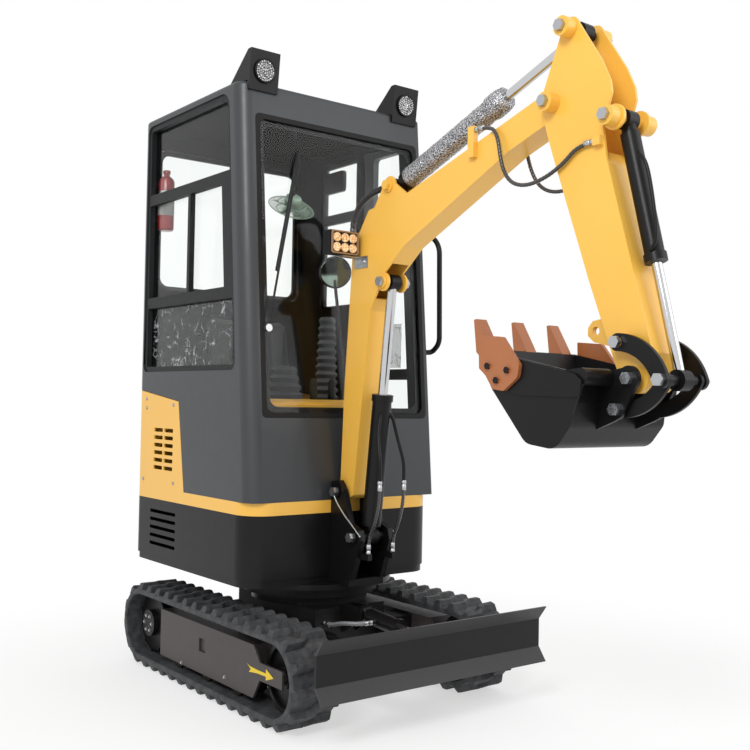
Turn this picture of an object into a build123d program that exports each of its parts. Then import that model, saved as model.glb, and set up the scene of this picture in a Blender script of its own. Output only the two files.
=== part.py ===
"""Mini excavator of the one-tonne class, with a closed cab, rubber tracks and a dozer blade.

Millimetres, +X forward, +Y to the machine's left, +Z up. The ground is z = 0, and the origin lies
under the middle of the whole outline. Places along the machine are measured from the slew axis.
"""
from build123d import *
import os
from math import cos, degrees, hypot, pi, radians, sin, tan

os.makedirs("parts", exist_ok=True)

# Slew axis, measured from the middle of the whole outline
SLEW_X = -491.5

# Tracks: rubber belts 180 wide with 37 links of 72 mm
TRACK_WIDTH = 180.0
TRACK_GAUGE = 750.0
PITCH_RADIUS = 124.8
LINKS = 37
LINK_PITCH = 72.0
BELT_INSIDE = 11.0
BELT_OUTSIDE = 9.0
LUG_HEIGHT = 21.0
LUG_FOOT = 44.0
LUG_CREST = 26.0

AXLE_SPACING = (LINKS * LINK_PITCH - 2 * pi * PITCH_RADIUS) / 2
BELT_RADIUS = PITCH_RADIUS + BELT_OUTSIDE
BELT_BORE = PITCH_RADIUS - BELT_INSIDE
AXLE_Z = BELT_RADIUS + LUG_HEIGHT
TRACK_MID = TRACK_GAUGE / 2

# Track frames, wheels and rollers
FRAME_WIDTH = 116.0
FRAME_PLATE = 8.0
FRAME_REAR = 125.0 - AXLE_SPACING / 2
FRAME_FRONT = AXLE_SPACING / 2 - 145.0
FRAME_TOP = 232.0
FRAME_BOTTOM = 62.0
BEAM_BOTTOM = 128.0
YOKE_HALF = 28.0
WHEEL_WIDTH = 56.0
SPROCKET_TEETH = 11
TOOTH_HEIGHT = 9.0
IDLER_RIM = 14.0
AXLE_RADIUS = 20.0
HUB_RADIUS = 62.0
ROLLER_RADIUS = 34.0
ROLLER_SPACING = 210.0
ROLLER_COUNT = 3
RUNNING_GAP = 0.3
FRAME_HOLE = -20.0
FRAME_HOLE_Z = 160.0
FRAME_HOLE_SIZE = 46.0

# Carbody and slew ring
CARBODY_LENGTH = 520.0
CARBODY_WIDTH = 300.0
CARBODY_BOTTOM = 130.0
CARBODY_TOP = 300.0
LEG_LENGTH = 110.0
LEG_TOP = 225.0
LEG_SPACING = 330.0
RING_SEAT_RADIUS = 215.0
RING_RADIUS = 250.0
RING_TOP = 366.0
RING_SEAT_TOP = 330.0

# Dozer blade
BLADE_WIDTH = 930.0
BLADE_PIVOT = (330.0, 200.0)
BLADE_FACE_X = 727.0
BLADE_BOTTOM = 145.0
BLADE_HEIGHT = 186.0
BLADE_PLATE = 9.0
BLADE_LIP = 34.0
BLADE_LIP_FALL = 46.0
ARM_OFFSET = 150.0
ARM_THICKNESS = 24.0
ARM_GAP = 6.0
BLADE_CYL_BASE = (342.0, 286.0)
BLADE_CYL_ROD = (664.0, 262.0)

# House: one plan outline for the turntable, skirts, deck and cab
HOUSE_REAR = -667.0
HOUSE_FRONT = 232.0
HOUSE_HALF = 404.0
SKIRT_CORNER = 95.0
REAR_CORNER = 55.0
SHEET = 6.0
SKIRT_BOTTOM = 410.0
SKIRT_TOP = 629.0
DECK_TOP = 673.0
DECK_PLATE = 12.0
TURNTABLE_RADIUS = 300.0
TURNTABLE_BOTTOM = 385.0
SEAM = 2.0

# Boom bracket on the front of the turntable
BRACKET_INNER = 52.0
BRACKET_PLATE = 22.0
BOOM_FOOT = (267.0, 705.0)
BOOM_CYL_BASE = (368.0, 557.0)

# Cab
CAB_TOP = 2132.0
CAB_FRONT_TOP_X = 116.0
CAB_RAKE_TOP = 2050.0
CAB_WALL = 34.0
CAB_CORNER_RIGHT = 52.0
CAB_CORNER_LEFT = 15.0
PANEL_FRONT_X = -243.0
PANEL_STEP_X = -300.0
PANEL_REAR_Z = 1056.0
PANEL_FRONT_Z = 1010.0
SCREEN_RIGHT = -347.0
SCREEN_LEFT = 380.0
SCREEN_BOTTOM = 960.0
SCREEN_TOP = 2022.0
SCREEN_RADIUS = 18.0
PANE_RADIUS = 30.0
GLASS = 4.0
WINDOW_BOTTOM = 1122.0
WINDOW_TOP = 2104.0
WINDOW_REAR_X = -616.0
WINDOW_FRONT = 78.0
RAIL_Z = 1806.0
LOWER_RAIL_Z = 1395.0
RAIL_HEIGHT = 42.0
MULLION_X = -262.0
FRAME_BAR = 20.0
FRONT_BAR = 78.0
RIGHT_FRAME_Y = -378.0
QUARTER_REAR_X = -510.0
QUARTER_BOTTOM = 1410.0
QUARTER_TOP = 2050.0
QUARTER_FRAME_Y = 380.0
REAR_WINDOW_HALF = 340.0
REAR_WINDOW_BOTTOM = 1460.0
REAR_WINDOW_TOP = 2035.0
DOOR_REAR_X = -205.0
DOOR_BOTTOM = 692.0
DOOR_TOP = 2052.0
DOOR_GAP = 5.0
DOOR_PILLAR = 46.0
DOOR_DEPTH = 30.0
DOOR_SILL_Z = 977.0
DOOR_RAIL_Z = 1130.0
DOOR_BAR = 52.0
DOOR_HEADER = 34.0
HINGE_RADIUS = 9.0
HINGE_LENGTH = 60.0
HINGE_LUG = 14.0
HINGE_INSET = 180.0

# Rear hood and what stands behind it
HOOD_TOP = 1040.0
HOOD_BOTTOM = 680.0
HOOD_HALF = 330.0
HOOD_SHEET = 14.0
HOOD_HINGE_OFFSET = 220.0
HOOD_PIN = (HOUSE_REAR + HOOD_SHEET / 2, HOOD_TOP + 5)
HOOD_PIN_RADIUS = 4.0
ENGINE_REAR = -551.0
ENGINE_LENGTH = 290.0
ENGINE_WIDTH = 420.0
ENGINE_HEIGHT = 470.0
ENGINE_GAP = 12.0
WEIGHT_DEPTH = 90.0

# Seat, controls and roof lights
SEAT_REAR = -480.0
SEAT_LENGTH = 400.0
SEAT_HALF = 200.0
CUSHION_HEIGHT = 110.0
BACKREST_HEIGHT = 470.0
LEVER_OFFSET = 265.0
LEVER_FOOT = 1000.0
LEVER_HEIGHT = 190.0
ROOF_LIGHT_OFFSET = 318.0
ROOF_LIGHT_WIDTH = 118.0
ROOF_LIGHT_HEIGHT = 108.0
ROOF_LIGHT_DROP = 32.0
ROOF_LIGHT_FOOT = -20.0
LENS_RADIUS = 42.0
LENS_DEPTH = 5.0

# Small fittings of the cab and the boom
VENT = (76.0, 15.0)
VENT_SPACING = (87.0, 29.0)
VENT_CENTRE = (-422.0, 824.0)
LOUVRE = (215.0, 13.0)
LOUVRE_SPACING = 31.0
LOUVRE_CENTRE = (-414.0, 520.0)
WIPER_PIVOT = (-322.0, 1266.0)
WIPER_END = (-214.0, 1720.0)
WIPER_BLADE = (1470.0, 1905.0)
MIRROR_FOOT_Y = 30.0
MIRROR_Z = 1500.0
MIRROR_RADIUS = 60.0
RAIL_RADIUS = 10.0
RAIL_Y = 442.0
FAN_CENTRE = (36.0, -139.0, 1727.0)
FAN_RADIUS = 85.0
FAN_DEPTH = 30.0
BOTTLE_RADIUS = 32.0
BOTTLE_FOOT = (-590.0, -332.0, 1694.0)
BOTTLE_HEIGHT = 200.0
WORK_LIGHT_LOW = (298.0, -175.0, 1524.0)
WORK_LIGHT_HIGH = (342.0, -60.0, 1606.0)
EYE_BORE = 12.0
EYE_CENTRE = (1358.0, 1224.0)
EYE_PLATE = 8.0

# Hoses
HOSE_RADIUS = 6.0
CLAMP_Y = 48.0
CLAMP_DEPTH = 18.0
STICK_PORT = (1392.0, 1722.0)
BOOM_PORT = (921.0, 1850.0)
BLADE_PORT_X = 440.0
BLADE_PORT_Y = 40.0
BOOM_HOSE_RADIUS = 11.0
BOOM_HOSE_ROUTE = [
    (281, 0, 1540), (238, 0, 1592), (229, 0, 1652), (258, 0, 1712),
    (322, 0, 1745), (392, 0, 1760), (452, 0, 1764),
]
PORT_DEPTH = 16.0
LINE_FOOT = (482.0, 756.0)
LINE_RADIUS = 6.0
LINE_Y = 52.0
BRACKET_PORT = (426.0, 505.0)

# Boom, stick, linkage and bucket pins
BOOM_CYL_ROD = (466.0, 1428.0)
STICK_CYL_BASE = (492.0, 1750.0)
STICK_PIN = (1235.0, 1860.0)
STICK_CYL_ROD = (1293.0, 2054.0)
BUCKET_CYL_BASE = (1448.0, 1778.0)
ROCKER_PIN = (1492.0, 1186.0)
BUCKET_PIN = (1528.0, 1094.0)
COMMON_PIN = (1623.0, 1090.0)
LINK_PIN = (1490.0, 1015.0)

BOOM_HALF = 42.0
BOOM_PLATE = 7.0
BOOM_POCKET = 72.0
STICK_HALF = 55.0
STICK_PLATE = 8.0
LINK_INNER = 60.0
LINK_PLATE = 10.0
LINK_WIDTH = 40.0
ROCKER_WIDTH = 46.0
EAR_INNER = 75.0
EAR_PLATE = 11.0
PIN_RADIUS = 14.0
PIN_GAP = 0.3
BOSS_RADIUS = 27.0
HEAD_RADIUS = 17.0
HEAD_LENGTH = 14.0
BOSS_REACH = 92.0
EYE_HALF = 20.0
EYE_RADIUS = 27.0
GLAND_LENGTH = 22.0
GLAND_STEP = 4.0
BARREL_NECK = 38.0
BARREL_END = 52.0

BUCKET_HALF = 190.0
BUCKET_SIDE = 8.0
BUCKET_SHELL = 7.0
TOOTH_OFFSET = 150.0
TOOTH_WIDTH = 40.0
CUTTER_THICKNESS = 12.0
BAND_THICKNESS = 8.0
TOOTH_SEAT = 10.0
TOOTH_SHANK = 45.0
BUCKET_LIP = (1106.0, 1176.0)
BUCKET_BACK = (1438.0, 1108.0)
BUCKET_TUBE = (1463.0, 1096.0)


BUCKET_HOSE_ROUTE = (
    (BOOM_PORT[0], 51, BOOM_PORT[1]), (977, 51, BOOM_PORT[1]), (1020, 57, 1820), (1042, 62, 1722),
    (1080, 66, 1664), (1142, 68, 1641), (1216, 68, 1650), (1286, 67, 1680),
    (1336, 64, STICK_PORT[1]), (STICK_PORT[0], 64, STICK_PORT[1]),
)
BLADE_HOSE_ROUTE = (
    (260, -112, 252), (306, -112, 252), (356, -118, 268), (406, -122, 278),
    (BLADE_PORT_X, -88, 278), (BLADE_PORT_X, -BLADE_PORT_Y, 278),
)


def side(y=0.0, x=0.0, z=0.0):
    """Upright plane along the machine, y to its left, seen from its right side."""
    return Plane(origin=(SLEW_X + x, y, z), x_dir=(1, 0, 0), z_dir=(0, -1, 0))


def level(z, x=0.0, y=0.0):
    """Level plane at height z."""
    return Plane(origin=(SLEW_X + x, y, z))


def across(x, z=0.0):
    """Upright plane across the machine at x, seen from the front."""
    return Plane(origin=(SLEW_X + x, 0, z), x_dir=(0, 1, 0), z_dir=(1, 0, 0))


def line_plane(start, end, reach=0.0):
    """Plane square to the line from one pin to another, that far along it."""
    run, rise = end[0] - start[0], end[1] - start[1]
    length = hypot(run, rise)
    origin = (SLEW_X + start[0] + reach * run / length, 0, start[1] + reach * rise / length)
    return Plane(origin=origin, x_dir=(0, 1, 0), z_dir=(run / length, 0, rise / length))


def cross_round(centre, radius, y_low, y_high, mode=Mode.ADD):
    """A pin, boss or bore across the machine between two distances from its middle."""
    with BuildSketch(side(y_high)) as disc:
        with Locations(centre):
            Circle(radius)
    extrude(disc.sketch, amount=y_high - y_low, mode=mode)


def both_rounds(centre, radius, inner, outer, mode=Mode.ADD):
    """The same round on both sides of the machine's middle plane."""
    cross_round(centre, radius, inner, outer, mode)
    cross_round(centre, radius, -outer, -inner, mode)


def both_heads(centre, face):
    """Hexagon pin heads standing on the faces at that distance on both sides."""
    for y in (face + HEAD_LENGTH, -face):
        with BuildSketch(side(y)) as head:
            with Locations(centre):
                RegularPolygon(HEAD_RADIUS, 6)
        extrude(head.sketch, amount=HEAD_LENGTH)


def box_between(low, high, mode=Mode.ADD):
    """A box between two corners."""
    size = [b - a for a, b in zip(low, high)]
    middle = [(a + b) / 2 for a, b in zip(low, high)]
    with Locations((SLEW_X + middle[0], middle[1], middle[2])):
        Box(*size, mode=mode)


def loop_place(distance):
    """Place and outward heading on a track's pitch line, that far round from the top rear."""
    arc = pi * PITCH_RADIUS
    half = AXLE_SPACING / 2
    distance %= 2 * (AXLE_SPACING + arc)
    if distance < AXLE_SPACING:
        return distance - half, PITCH_RADIUS, 90.0
    distance -= AXLE_SPACING
    if distance < arc:
        turn = pi / 2 - distance / PITCH_RADIUS
        return half + PITCH_RADIUS * cos(turn), PITCH_RADIUS * sin(turn), degrees(turn)
    distance -= arc
    if distance < AXLE_SPACING:
        return half - distance, -PITCH_RADIUS, -90.0
    distance -= AXLE_SPACING
    turn = -pi / 2 - distance / PITCH_RADIUS
    return PITCH_RADIUS * cos(turn) - half, PITCH_RADIUS * sin(turn), degrees(turn)


def house_plan(z, inset=0.0):
    """The plan outline of the house at height z, inset all round."""
    rear, front, half = HOUSE_REAR + inset, HOUSE_FRONT - inset, HOUSE_HALF - inset
    corners = [REAR_CORNER, SKIRT_CORNER, SKIRT_CORNER, REAR_CORNER]
    with BuildSketch(level(z)) as plan:
        with BuildLine():
            FilletPolyline(
                (rear, -half), (front, -half), (front, half), (rear, half),
                close=True, radius=[corner - inset for corner in corners],
            )
        make_face()
    return plan.sketch


def panel_top(x):
    """Height of the cab's sloping lower edge above the side panels at x."""
    fall = (PANEL_FRONT_Z - PANEL_REAR_Z) / (PANEL_STEP_X - HOUSE_REAR)
    return PANEL_REAR_Z + fall * (x - HOUSE_REAR)


def round_barrel(start, end, radius, length, rod_radius):
    """A cylinder's barrel in the current part: eye, closed end, tube and gland, bored for its rod."""
    with BuildSketch(line_plane(start, end)) as neck:
        Circle(EYE_HALF)
    extrude(neck.sketch, amount=BARREL_NECK)
    with BuildSketch(line_plane(start, end, BARREL_NECK)) as tube:
        Circle(radius)
    extrude(tube.sketch, amount=length - BARREL_NECK)
    with BuildSketch(line_plane(start, end, length - GLAND_LENGTH)) as gland:
        Circle(radius + GLAND_STEP)
    extrude(gland.sketch, amount=GLAND_LENGTH)
    cross_round(start, EYE_RADIUS, -EYE_HALF, EYE_HALF)
    with BuildSketch(line_plane(start, end, BARREL_END)) as bore:
        Circle(rod_radius + PIN_GAP)
    extrude(bore.sketch, amount=length, mode=Mode.SUBTRACT)
    cross_round(start, PIN_RADIUS + PIN_GAP, -EYE_HALF - 1, EYE_HALF + 1, Mode.SUBTRACT)


def round_rod(start, end, rod_radius, tail, pin_reach):
    """A cylinder's rod in the current part: it starts inside the barrel and ends in an eye."""
    length = hypot(end[0] - start[0], end[1] - start[1])
    with BuildSketch(line_plane(start, end, tail)) as rod:
        Circle(rod_radius)
    extrude(rod.sketch, amount=length - tail)
    cross_round(end, EYE_RADIUS, -EYE_HALF, EYE_HALF)
    cross_round(end, PIN_RADIUS, -pin_reach, pin_reach)


def bar_between(start, end, radius):
    """A round bar in the current part from one point to another."""
    run = [b - a for a, b in zip(start, end)]
    with BuildSketch(Plane(origin=(SLEW_X + start[0], start[1], start[2]), z_dir=run)) as disc:
        Circle(radius)
    extrude(disc.sketch, amount=hypot(*run))


def tube(points, radius):
    """A round tube in the current part, its runs joined by arcs as large as they allow."""
    corners = [Vector(SLEW_X + x, y, z) for x, y, z in points]
    here = corners[0]
    bends = []
    with BuildLine() as route:
        for before, corner, after in zip(corners, corners[1:], corners[2:]):
            back, ahead = before - corner, after - corner
            reach = 0.45 * min(back.length, ahead.length)
            back, ahead = back.normalized(), ahead.normalized()
            half = radians(back.get_angle(ahead)) / 2
            bends.append(round(reach * tan(half)))
            inward = (back + ahead).normalized()
            middle = corner + inward * (reach / cos(half) - reach * tan(half))
            Line(here, corner + back * reach)
            ThreePointArc(corner + back * reach, middle, corner + ahead * reach)
            here = corner + ahead * reach
        Line(here, corners[-1])
    with BuildSketch(Plane(origin=corners[0], z_dir=corners[1] - corners[0])) as section:
        Circle(radius)
    sweep(section.sketch, path=route.wire())
    return bends


def right_window(y, inset=0.0):
    """Outline of the right side window at y, inset all round."""
    with BuildSketch(side(y)) as pane:
        with BuildLine():
            FilletPolyline(
                (WINDOW_REAR_X, WINDOW_BOTTOM),
                (rake_x(WINDOW_BOTTOM) - WINDOW_FRONT, WINDOW_BOTTOM),
                (rake_x(WINDOW_TOP) - WINDOW_FRONT, WINDOW_TOP),
                (WINDOW_REAR_X, WINDOW_TOP),
                close=True, radius=[PANE_RADIUS, PANE_RADIUS, 2 * PANE_RADIUS, PANE_RADIUS],
            )
        make_face()
        if inset:
            offset(amount=-inset)
    return pane.sketch


def quarter_window(y, inset=0.0):
    """Outline of the window behind the door at y, inset all round."""
    front = DOOR_REAR_X - 40
    with BuildSketch(side(y)) as pane:
        with Locations(((QUARTER_REAR_X + front) / 2, (QUARTER_TOP + QUARTER_BOTTOM) / 2)):
            RectangleRounded(
                front - QUARTER_REAR_X - 2 * inset, QUARTER_TOP - QUARTER_BOTTOM - 2 * inset,
                PANE_RADIUS - inset,
            )
    return pane.sketch


def door_opening(y):
    """Outline of the glass in the door at y."""
    with BuildSketch(side(y)) as pane:
        Polygon(
            (DOOR_REAR_X + 60, DOOR_SILL_Z),
            (rake_x(DOOR_SILL_Z) - DOOR_PILLAR - DOOR_BAR, DOOR_SILL_Z),
            (rake_x(DOOR_TOP - DOOR_HEADER) - DOOR_PILLAR - DOOR_BAR, DOOR_TOP - DOOR_HEADER),
            (DOOR_REAR_X + 60, DOOR_TOP - DOOR_HEADER),
            align=None,
        )
        fillet(pane.vertices(), SCREEN_RADIUS)
    return pane.sketch


def rake_x(z):
    """Where the raked front of the cab stands at height z."""
    return HOUSE_FRONT + (CAB_FRONT_TOP_X - HOUSE_FRONT) * (z - DECK_TOP) / (CAB_RAKE_TOP - DECK_TOP)


# Tracks
for hand, sign in (("left", 1), ("right", -1)):
    middle = sign * TRACK_MID
    with BuildPart() as track:
        with BuildSketch(side(middle + TRACK_WIDTH / 2, z=AXLE_Z)):
            SlotCenterToCenter(AXLE_SPACING, 2 * BELT_RADIUS)
            SlotCenterToCenter(AXLE_SPACING, 2 * BELT_BORE, mode=Mode.SUBTRACT)
        extrude(amount=TRACK_WIDTH)
        for half in (0, 1):
            with BuildSketch(side(middle + half * TRACK_WIDTH / 2, z=AXLE_Z)) as lugs:
                for link in range(LINKS):
                    x, z, heading = loop_place((link + half / 2) * LINK_PITCH)
                    with Locations(Location((x, z, 0), (0, 0, heading))):
                        Polygon(
                            (0, -LUG_FOOT / 2),
                            (BELT_OUTSIDE + LUG_HEIGHT, -LUG_CREST / 2),
                            (BELT_OUTSIDE + LUG_HEIGHT, LUG_CREST / 2),
                            (0, LUG_FOOT / 2),
                            align=None,
                        )
            extrude(lugs.sketch, amount=TRACK_WIDTH / 2)
    track.part.label = f"track_{hand}"
    export_step(track.part, f"parts/track_{hand}.step")

# Track frames, one beam between two cheek plates on each side
with BuildPart() as track_frames:
    for sign in (1, -1):
        middle = sign * TRACK_MID
        outside = middle + FRAME_WIDTH / 2
        for y in (outside, middle - FRAME_WIDTH / 2 + FRAME_PLATE):
            with BuildSketch(side(y)):
                Polygon(
                    (FRAME_REAR, FRAME_BOTTOM),
                    (FRAME_FRONT, FRAME_BOTTOM),
                    (FRAME_FRONT + 40, AXLE_Z - YOKE_HALF),
                    (AXLE_SPACING / 2 + YOKE_HALF, AXLE_Z - YOKE_HALF),
                    (AXLE_SPACING / 2 + YOKE_HALF, AXLE_Z + YOKE_HALF),
                    (FRAME_FRONT + 40, AXLE_Z + YOKE_HALF),
                    (FRAME_FRONT, FRAME_TOP),
                    (FRAME_REAR, FRAME_TOP),
                    align=None,
                )
            extrude(amount=FRAME_PLATE)
        box_between(
            (FRAME_REAR, middle - FRAME_WIDTH / 2, BEAM_BOTTOM),
            (FRAME_FRONT, outside, FRAME_TOP),
        )
        inner = middle - sign * FRAME_WIDTH / 2
        with BuildSketch(side(max(inner, inner + sign * FRAME_PLATE))):
            with Locations((-AXLE_SPACING / 2, AXLE_Z)):
                Circle(HUB_RADIUS + 14)
            with Locations(((FRAME_REAR - AXLE_SPACING / 2) / 2, AXLE_Z)):
                Rectangle(AXLE_SPACING / 2 + FRAME_REAR, 2 * HUB_RADIUS)
        extrude(amount=FRAME_PLATE)
        cross_round(
            (AXLE_SPACING / 2, AXLE_Z), AXLE_RADIUS, middle - FRAME_WIDTH / 2, outside
        )
        for i in range(ROLLER_COUNT):
            x = (i - (ROLLER_COUNT - 1) / 2) * ROLLER_SPACING
            place = (x, AXLE_Z - BELT_BORE + ROLLER_RADIUS + RUNNING_GAP)
            cross_round(place, AXLE_RADIUS / 2, middle - FRAME_WIDTH / 2, outside)
        hole_face = outside if sign > 0 else middle - FRAME_WIDTH / 2
        box_between(
            (FRAME_HOLE - FRAME_HOLE_SIZE / 2, hole_face - FRAME_PLATE, FRAME_HOLE_Z - FRAME_HOLE_SIZE / 2),
            (FRAME_HOLE + FRAME_HOLE_SIZE / 2, hole_face + FRAME_PLATE, FRAME_HOLE_Z + FRAME_HOLE_SIZE / 2),
            Mode.SUBTRACT,
        )
track_frames.part.label = "track_frames"
export_step(track_frames.part, "parts/track_frames.step")

# Drive sprockets at the rear with their hydraulic motor hubs
with BuildPart() as sprockets:
    for sign in (1, -1):
        middle = sign * TRACK_MID
        inner = middle - sign * (FRAME_WIDTH / 2 - FRAME_PLATE)
        face = middle + sign * WHEEL_WIDTH / 2
        with BuildSketch(side(middle + WHEEL_WIDTH / 2, x=-AXLE_SPACING / 2, z=AXLE_Z)) as wheel:
            Circle(BELT_BORE - TOOTH_HEIGHT - RUNNING_GAP)
            with PolarLocations(BELT_BORE - TOOTH_HEIGHT - 4, SPROCKET_TEETH):
                Trapezoid(30, 24, 62, rotation=-90)
        extrude(wheel.sketch, amount=WHEEL_WIDTH)
        cross_round(
            (-AXLE_SPACING / 2, AXLE_Z), HUB_RADIUS, min(inner, face), max(inner, face)
        )
        cross_round(
            (-AXLE_SPACING / 2, AXLE_Z), HUB_RADIUS * 0.8,
            min(face, face + sign * 22), max(face, face + sign * 22),
        )
sprockets.part.label = "drive_sprockets"
export_step(sprockets.part, "parts/drive_sprockets.step")

# Idler wheels at the front
with BuildPart() as idlers:
    for sign in (1, -1):
        middle = sign * TRACK_MID
        place = (AXLE_SPACING / 2, AXLE_Z)
        low, high = middle - WHEEL_WIDTH / 2, middle + WHEEL_WIDTH / 2
        cross_round(place, BELT_BORE - RUNNING_GAP, low, high)
        cross_round(place, BELT_BORE - IDLER_RIM, low, low + 14, Mode.SUBTRACT)
        cross_round(place, BELT_BORE - IDLER_RIM, high - 14, high, Mode.SUBTRACT)
        cross_round(place, AXLE_RADIUS + 14, low - 8, high + 8)
        cross_round(place, AXLE_RADIUS + RUNNING_GAP, low - 9, high + 9, Mode.SUBTRACT)
idlers.part.label = "front_idlers"
export_step(idlers.part, "parts/front_idlers.step")

# Bottom rollers between the cheek plates
with BuildPart() as rollers:
    for sign in (1, -1):
        middle = sign * TRACK_MID
        for i in range(ROLLER_COUNT):
            x = (i - (ROLLER_COUNT - 1) / 2) * ROLLER_SPACING
            place = (x, AXLE_Z - BELT_BORE + ROLLER_RADIUS + RUNNING_GAP)
            reach = FRAME_WIDTH / 2 - FRAME_PLATE - RUNNING_GAP
            cross_round(place, ROLLER_RADIUS, middle - reach, middle + reach)
            cross_round(
                place, AXLE_RADIUS / 2 + RUNNING_GAP, middle - reach - 1, middle + reach + 1,
                Mode.SUBTRACT,
            )
rollers.part.label = "bottom_rollers"
export_step(rollers.part, "parts/bottom_rollers.step")

# Carbody: centre box, four legs to the track frames, lugs for the blade arms and cylinder
leg_end = TRACK_MID - FRAME_WIDTH / 2
with BuildPart() as carbody:
    box_between(
        (-CARBODY_LENGTH / 2, -CARBODY_WIDTH / 2, CARBODY_BOTTOM),
        (CARBODY_LENGTH / 2, CARBODY_WIDTH / 2, CARBODY_TOP),
    )
    for x in (-LEG_SPACING / 2, LEG_SPACING / 2):
        box_between(
            (x - LEG_LENGTH / 2, -leg_end, CARBODY_BOTTOM),
            (x + LEG_LENGTH / 2, leg_end, LEG_TOP),
        )
    with BuildSketch(level(CARBODY_TOP)):
        Circle(RING_SEAT_RADIUS)
    extrude(amount=RING_SEAT_TOP - CARBODY_TOP)
    lug = ARM_THICKNESS / 2 + ARM_GAP
    for y in (-ARM_OFFSET, ARM_OFFSET):
        for face in (y - lug, y + lug + 14):
            with BuildSketch(side(face)):
                with Locations(BLADE_PIVOT):
                    Circle(30)
                with Locations(((CARBODY_LENGTH / 2 + BLADE_PIVOT[0]) / 2, BLADE_PIVOT[1])):
                    Rectangle(BLADE_PIVOT[0] - CARBODY_LENGTH / 2, 60)
            extrude(amount=14)
        cross_round(BLADE_PIVOT, PIN_RADIUS, y - lug - 14, y + lug + 14)
    for face in (EYE_HALF + 3 + 12, -EYE_HALF - 3):
        with BuildSketch(side(face)):
            Polygon(
                (CARBODY_LENGTH / 2 - 40, CARBODY_TOP - 90),
                (CARBODY_LENGTH / 2, CARBODY_TOP - 90),
                (BLADE_CYL_BASE[0] + 22, BLADE_CYL_BASE[1] - 18),
                (BLADE_CYL_BASE[0] + 22, BLADE_CYL_BASE[1] + 22),
                (BLADE_CYL_BASE[0] - 20, BLADE_CYL_BASE[1] + 26),
                (CARBODY_LENGTH / 2 - 40, CARBODY_TOP),
                align=None,
            )
        extrude(amount=12)
    cross_round(BLADE_CYL_BASE, PIN_RADIUS, -EYE_HALF - 15, EYE_HALF + 15)
carbody.part.label = "carbody"
export_step(carbody.part, "parts/carbody.step")

# Slew ring on its seat
with BuildPart() as slew_ring:
    with BuildSketch(level(RING_SEAT_TOP)):
        Circle(RING_RADIUS)
        Circle(RING_SEAT_RADIUS - 40, mode=Mode.SUBTRACT)
    extrude(amount=RING_TOP - RING_SEAT_TOP)
slew_ring.part.label = "slew_ring"
export_step(slew_ring.part, "parts/slew_ring.step")

# Dozer blade: folded plate with lips at its top and foot, two arms and a lug for its cylinder
blade_top = BLADE_BOTTOM + BLADE_HEIGHT
with BuildPart() as blade:
    with BuildSketch(side(BLADE_WIDTH / 2)):
        Polygon(
            (BLADE_FACE_X + BLADE_LIP, BLADE_BOTTOM),
            (BLADE_FACE_X, BLADE_BOTTOM + BLADE_LIP_FALL),
            (BLADE_FACE_X, blade_top - BLADE_LIP_FALL),
            (BLADE_FACE_X + BLADE_LIP, blade_top),
            (BLADE_FACE_X + BLADE_LIP - BLADE_PLATE, blade_top),
            (BLADE_FACE_X - BLADE_PLATE, blade_top - BLADE_LIP_FALL),
            (BLADE_FACE_X - BLADE_PLATE, BLADE_BOTTOM + BLADE_LIP_FALL),
            (BLADE_FACE_X + BLADE_LIP - BLADE_PLATE, BLADE_BOTTOM),
            align=None,
        )
    extrude(amount=BLADE_WIDTH)
    for y in (-ARM_OFFSET, ARM_OFFSET):
        with BuildSketch(side(y + ARM_THICKNESS / 2)):
            with Locations(BLADE_PIVOT):
                Circle(28)
            Polygon(
                (BLADE_PIVOT[0], BLADE_PIVOT[1] - 28),
                (BLADE_FACE_X - BLADE_PLATE, BLADE_BOTTOM + BLADE_LIP_FALL - 10),
                (BLADE_FACE_X - BLADE_PLATE, blade_top - BLADE_LIP_FALL),
                (BLADE_FACE_X - 110, BLADE_PIVOT[1] + 34),
                (BLADE_PIVOT[0], BLADE_PIVOT[1] + 28),
                align=None,
            )
        extrude(amount=ARM_THICKNESS)
        cross_round(
            BLADE_PIVOT, PIN_RADIUS + PIN_GAP, y - ARM_THICKNESS, y + ARM_THICKNESS, Mode.SUBTRACT
        )
    box_between(
        (BLADE_FACE_X - 150, -ARM_OFFSET, BLADE_PIVOT[1] - 12),
        (BLADE_FACE_X - BLADE_PLATE, ARM_OFFSET, BLADE_PIVOT[1] + 10),
    )
    for face in (EYE_HALF + 6 + 12, -EYE_HALF - 6):
        with BuildSketch(side(face)):
            Polygon(
                (BLADE_FACE_X - BLADE_PLATE, BLADE_PIVOT[1]),
                (BLADE_FACE_X - BLADE_PLATE, blade_top - BLADE_LIP_FALL),
                (BLADE_CYL_ROD[0] + 10, BLADE_CYL_ROD[1] + 24),
                (BLADE_CYL_ROD[0] - 22, BLADE_CYL_ROD[1] + 18),
                (BLADE_CYL_ROD[0] - 26, BLADE_PIVOT[1]),
                align=None,
            )
        extrude(amount=12)
blade.part.label = "blade"
export_step(blade.part, "parts/blade.step")

with BuildPart() as blade_barrel:
    round_barrel(BLADE_CYL_BASE, BLADE_CYL_ROD, 27, 205, 14)
    cross_round((BLADE_PORT_X, 278), 10, -BLADE_PORT_Y, -EYE_HALF)
blade_barrel.part.label = "blade_cylinder_barrel"
export_step(blade_barrel.part, "parts/blade_cylinder_barrel.step")

# Sleeved hose of the blade cylinder
with BuildPart() as blade_hose:
    print("blade_hose bend radii", tube(BLADE_HOSE_ROUTE, HOSE_RADIUS))
blade_hose.part.label = "blade_hose"
export_step(blade_hose.part, "parts/blade_hose.step")

with BuildPart() as blade_rod:
    round_rod(BLADE_CYL_BASE, BLADE_CYL_ROD, 14, 120, EYE_HALF + 4)
blade_rod.part.label = "blade_cylinder_rod"
export_step(blade_rod.part, "parts/blade_cylinder_rod.step")

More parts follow.
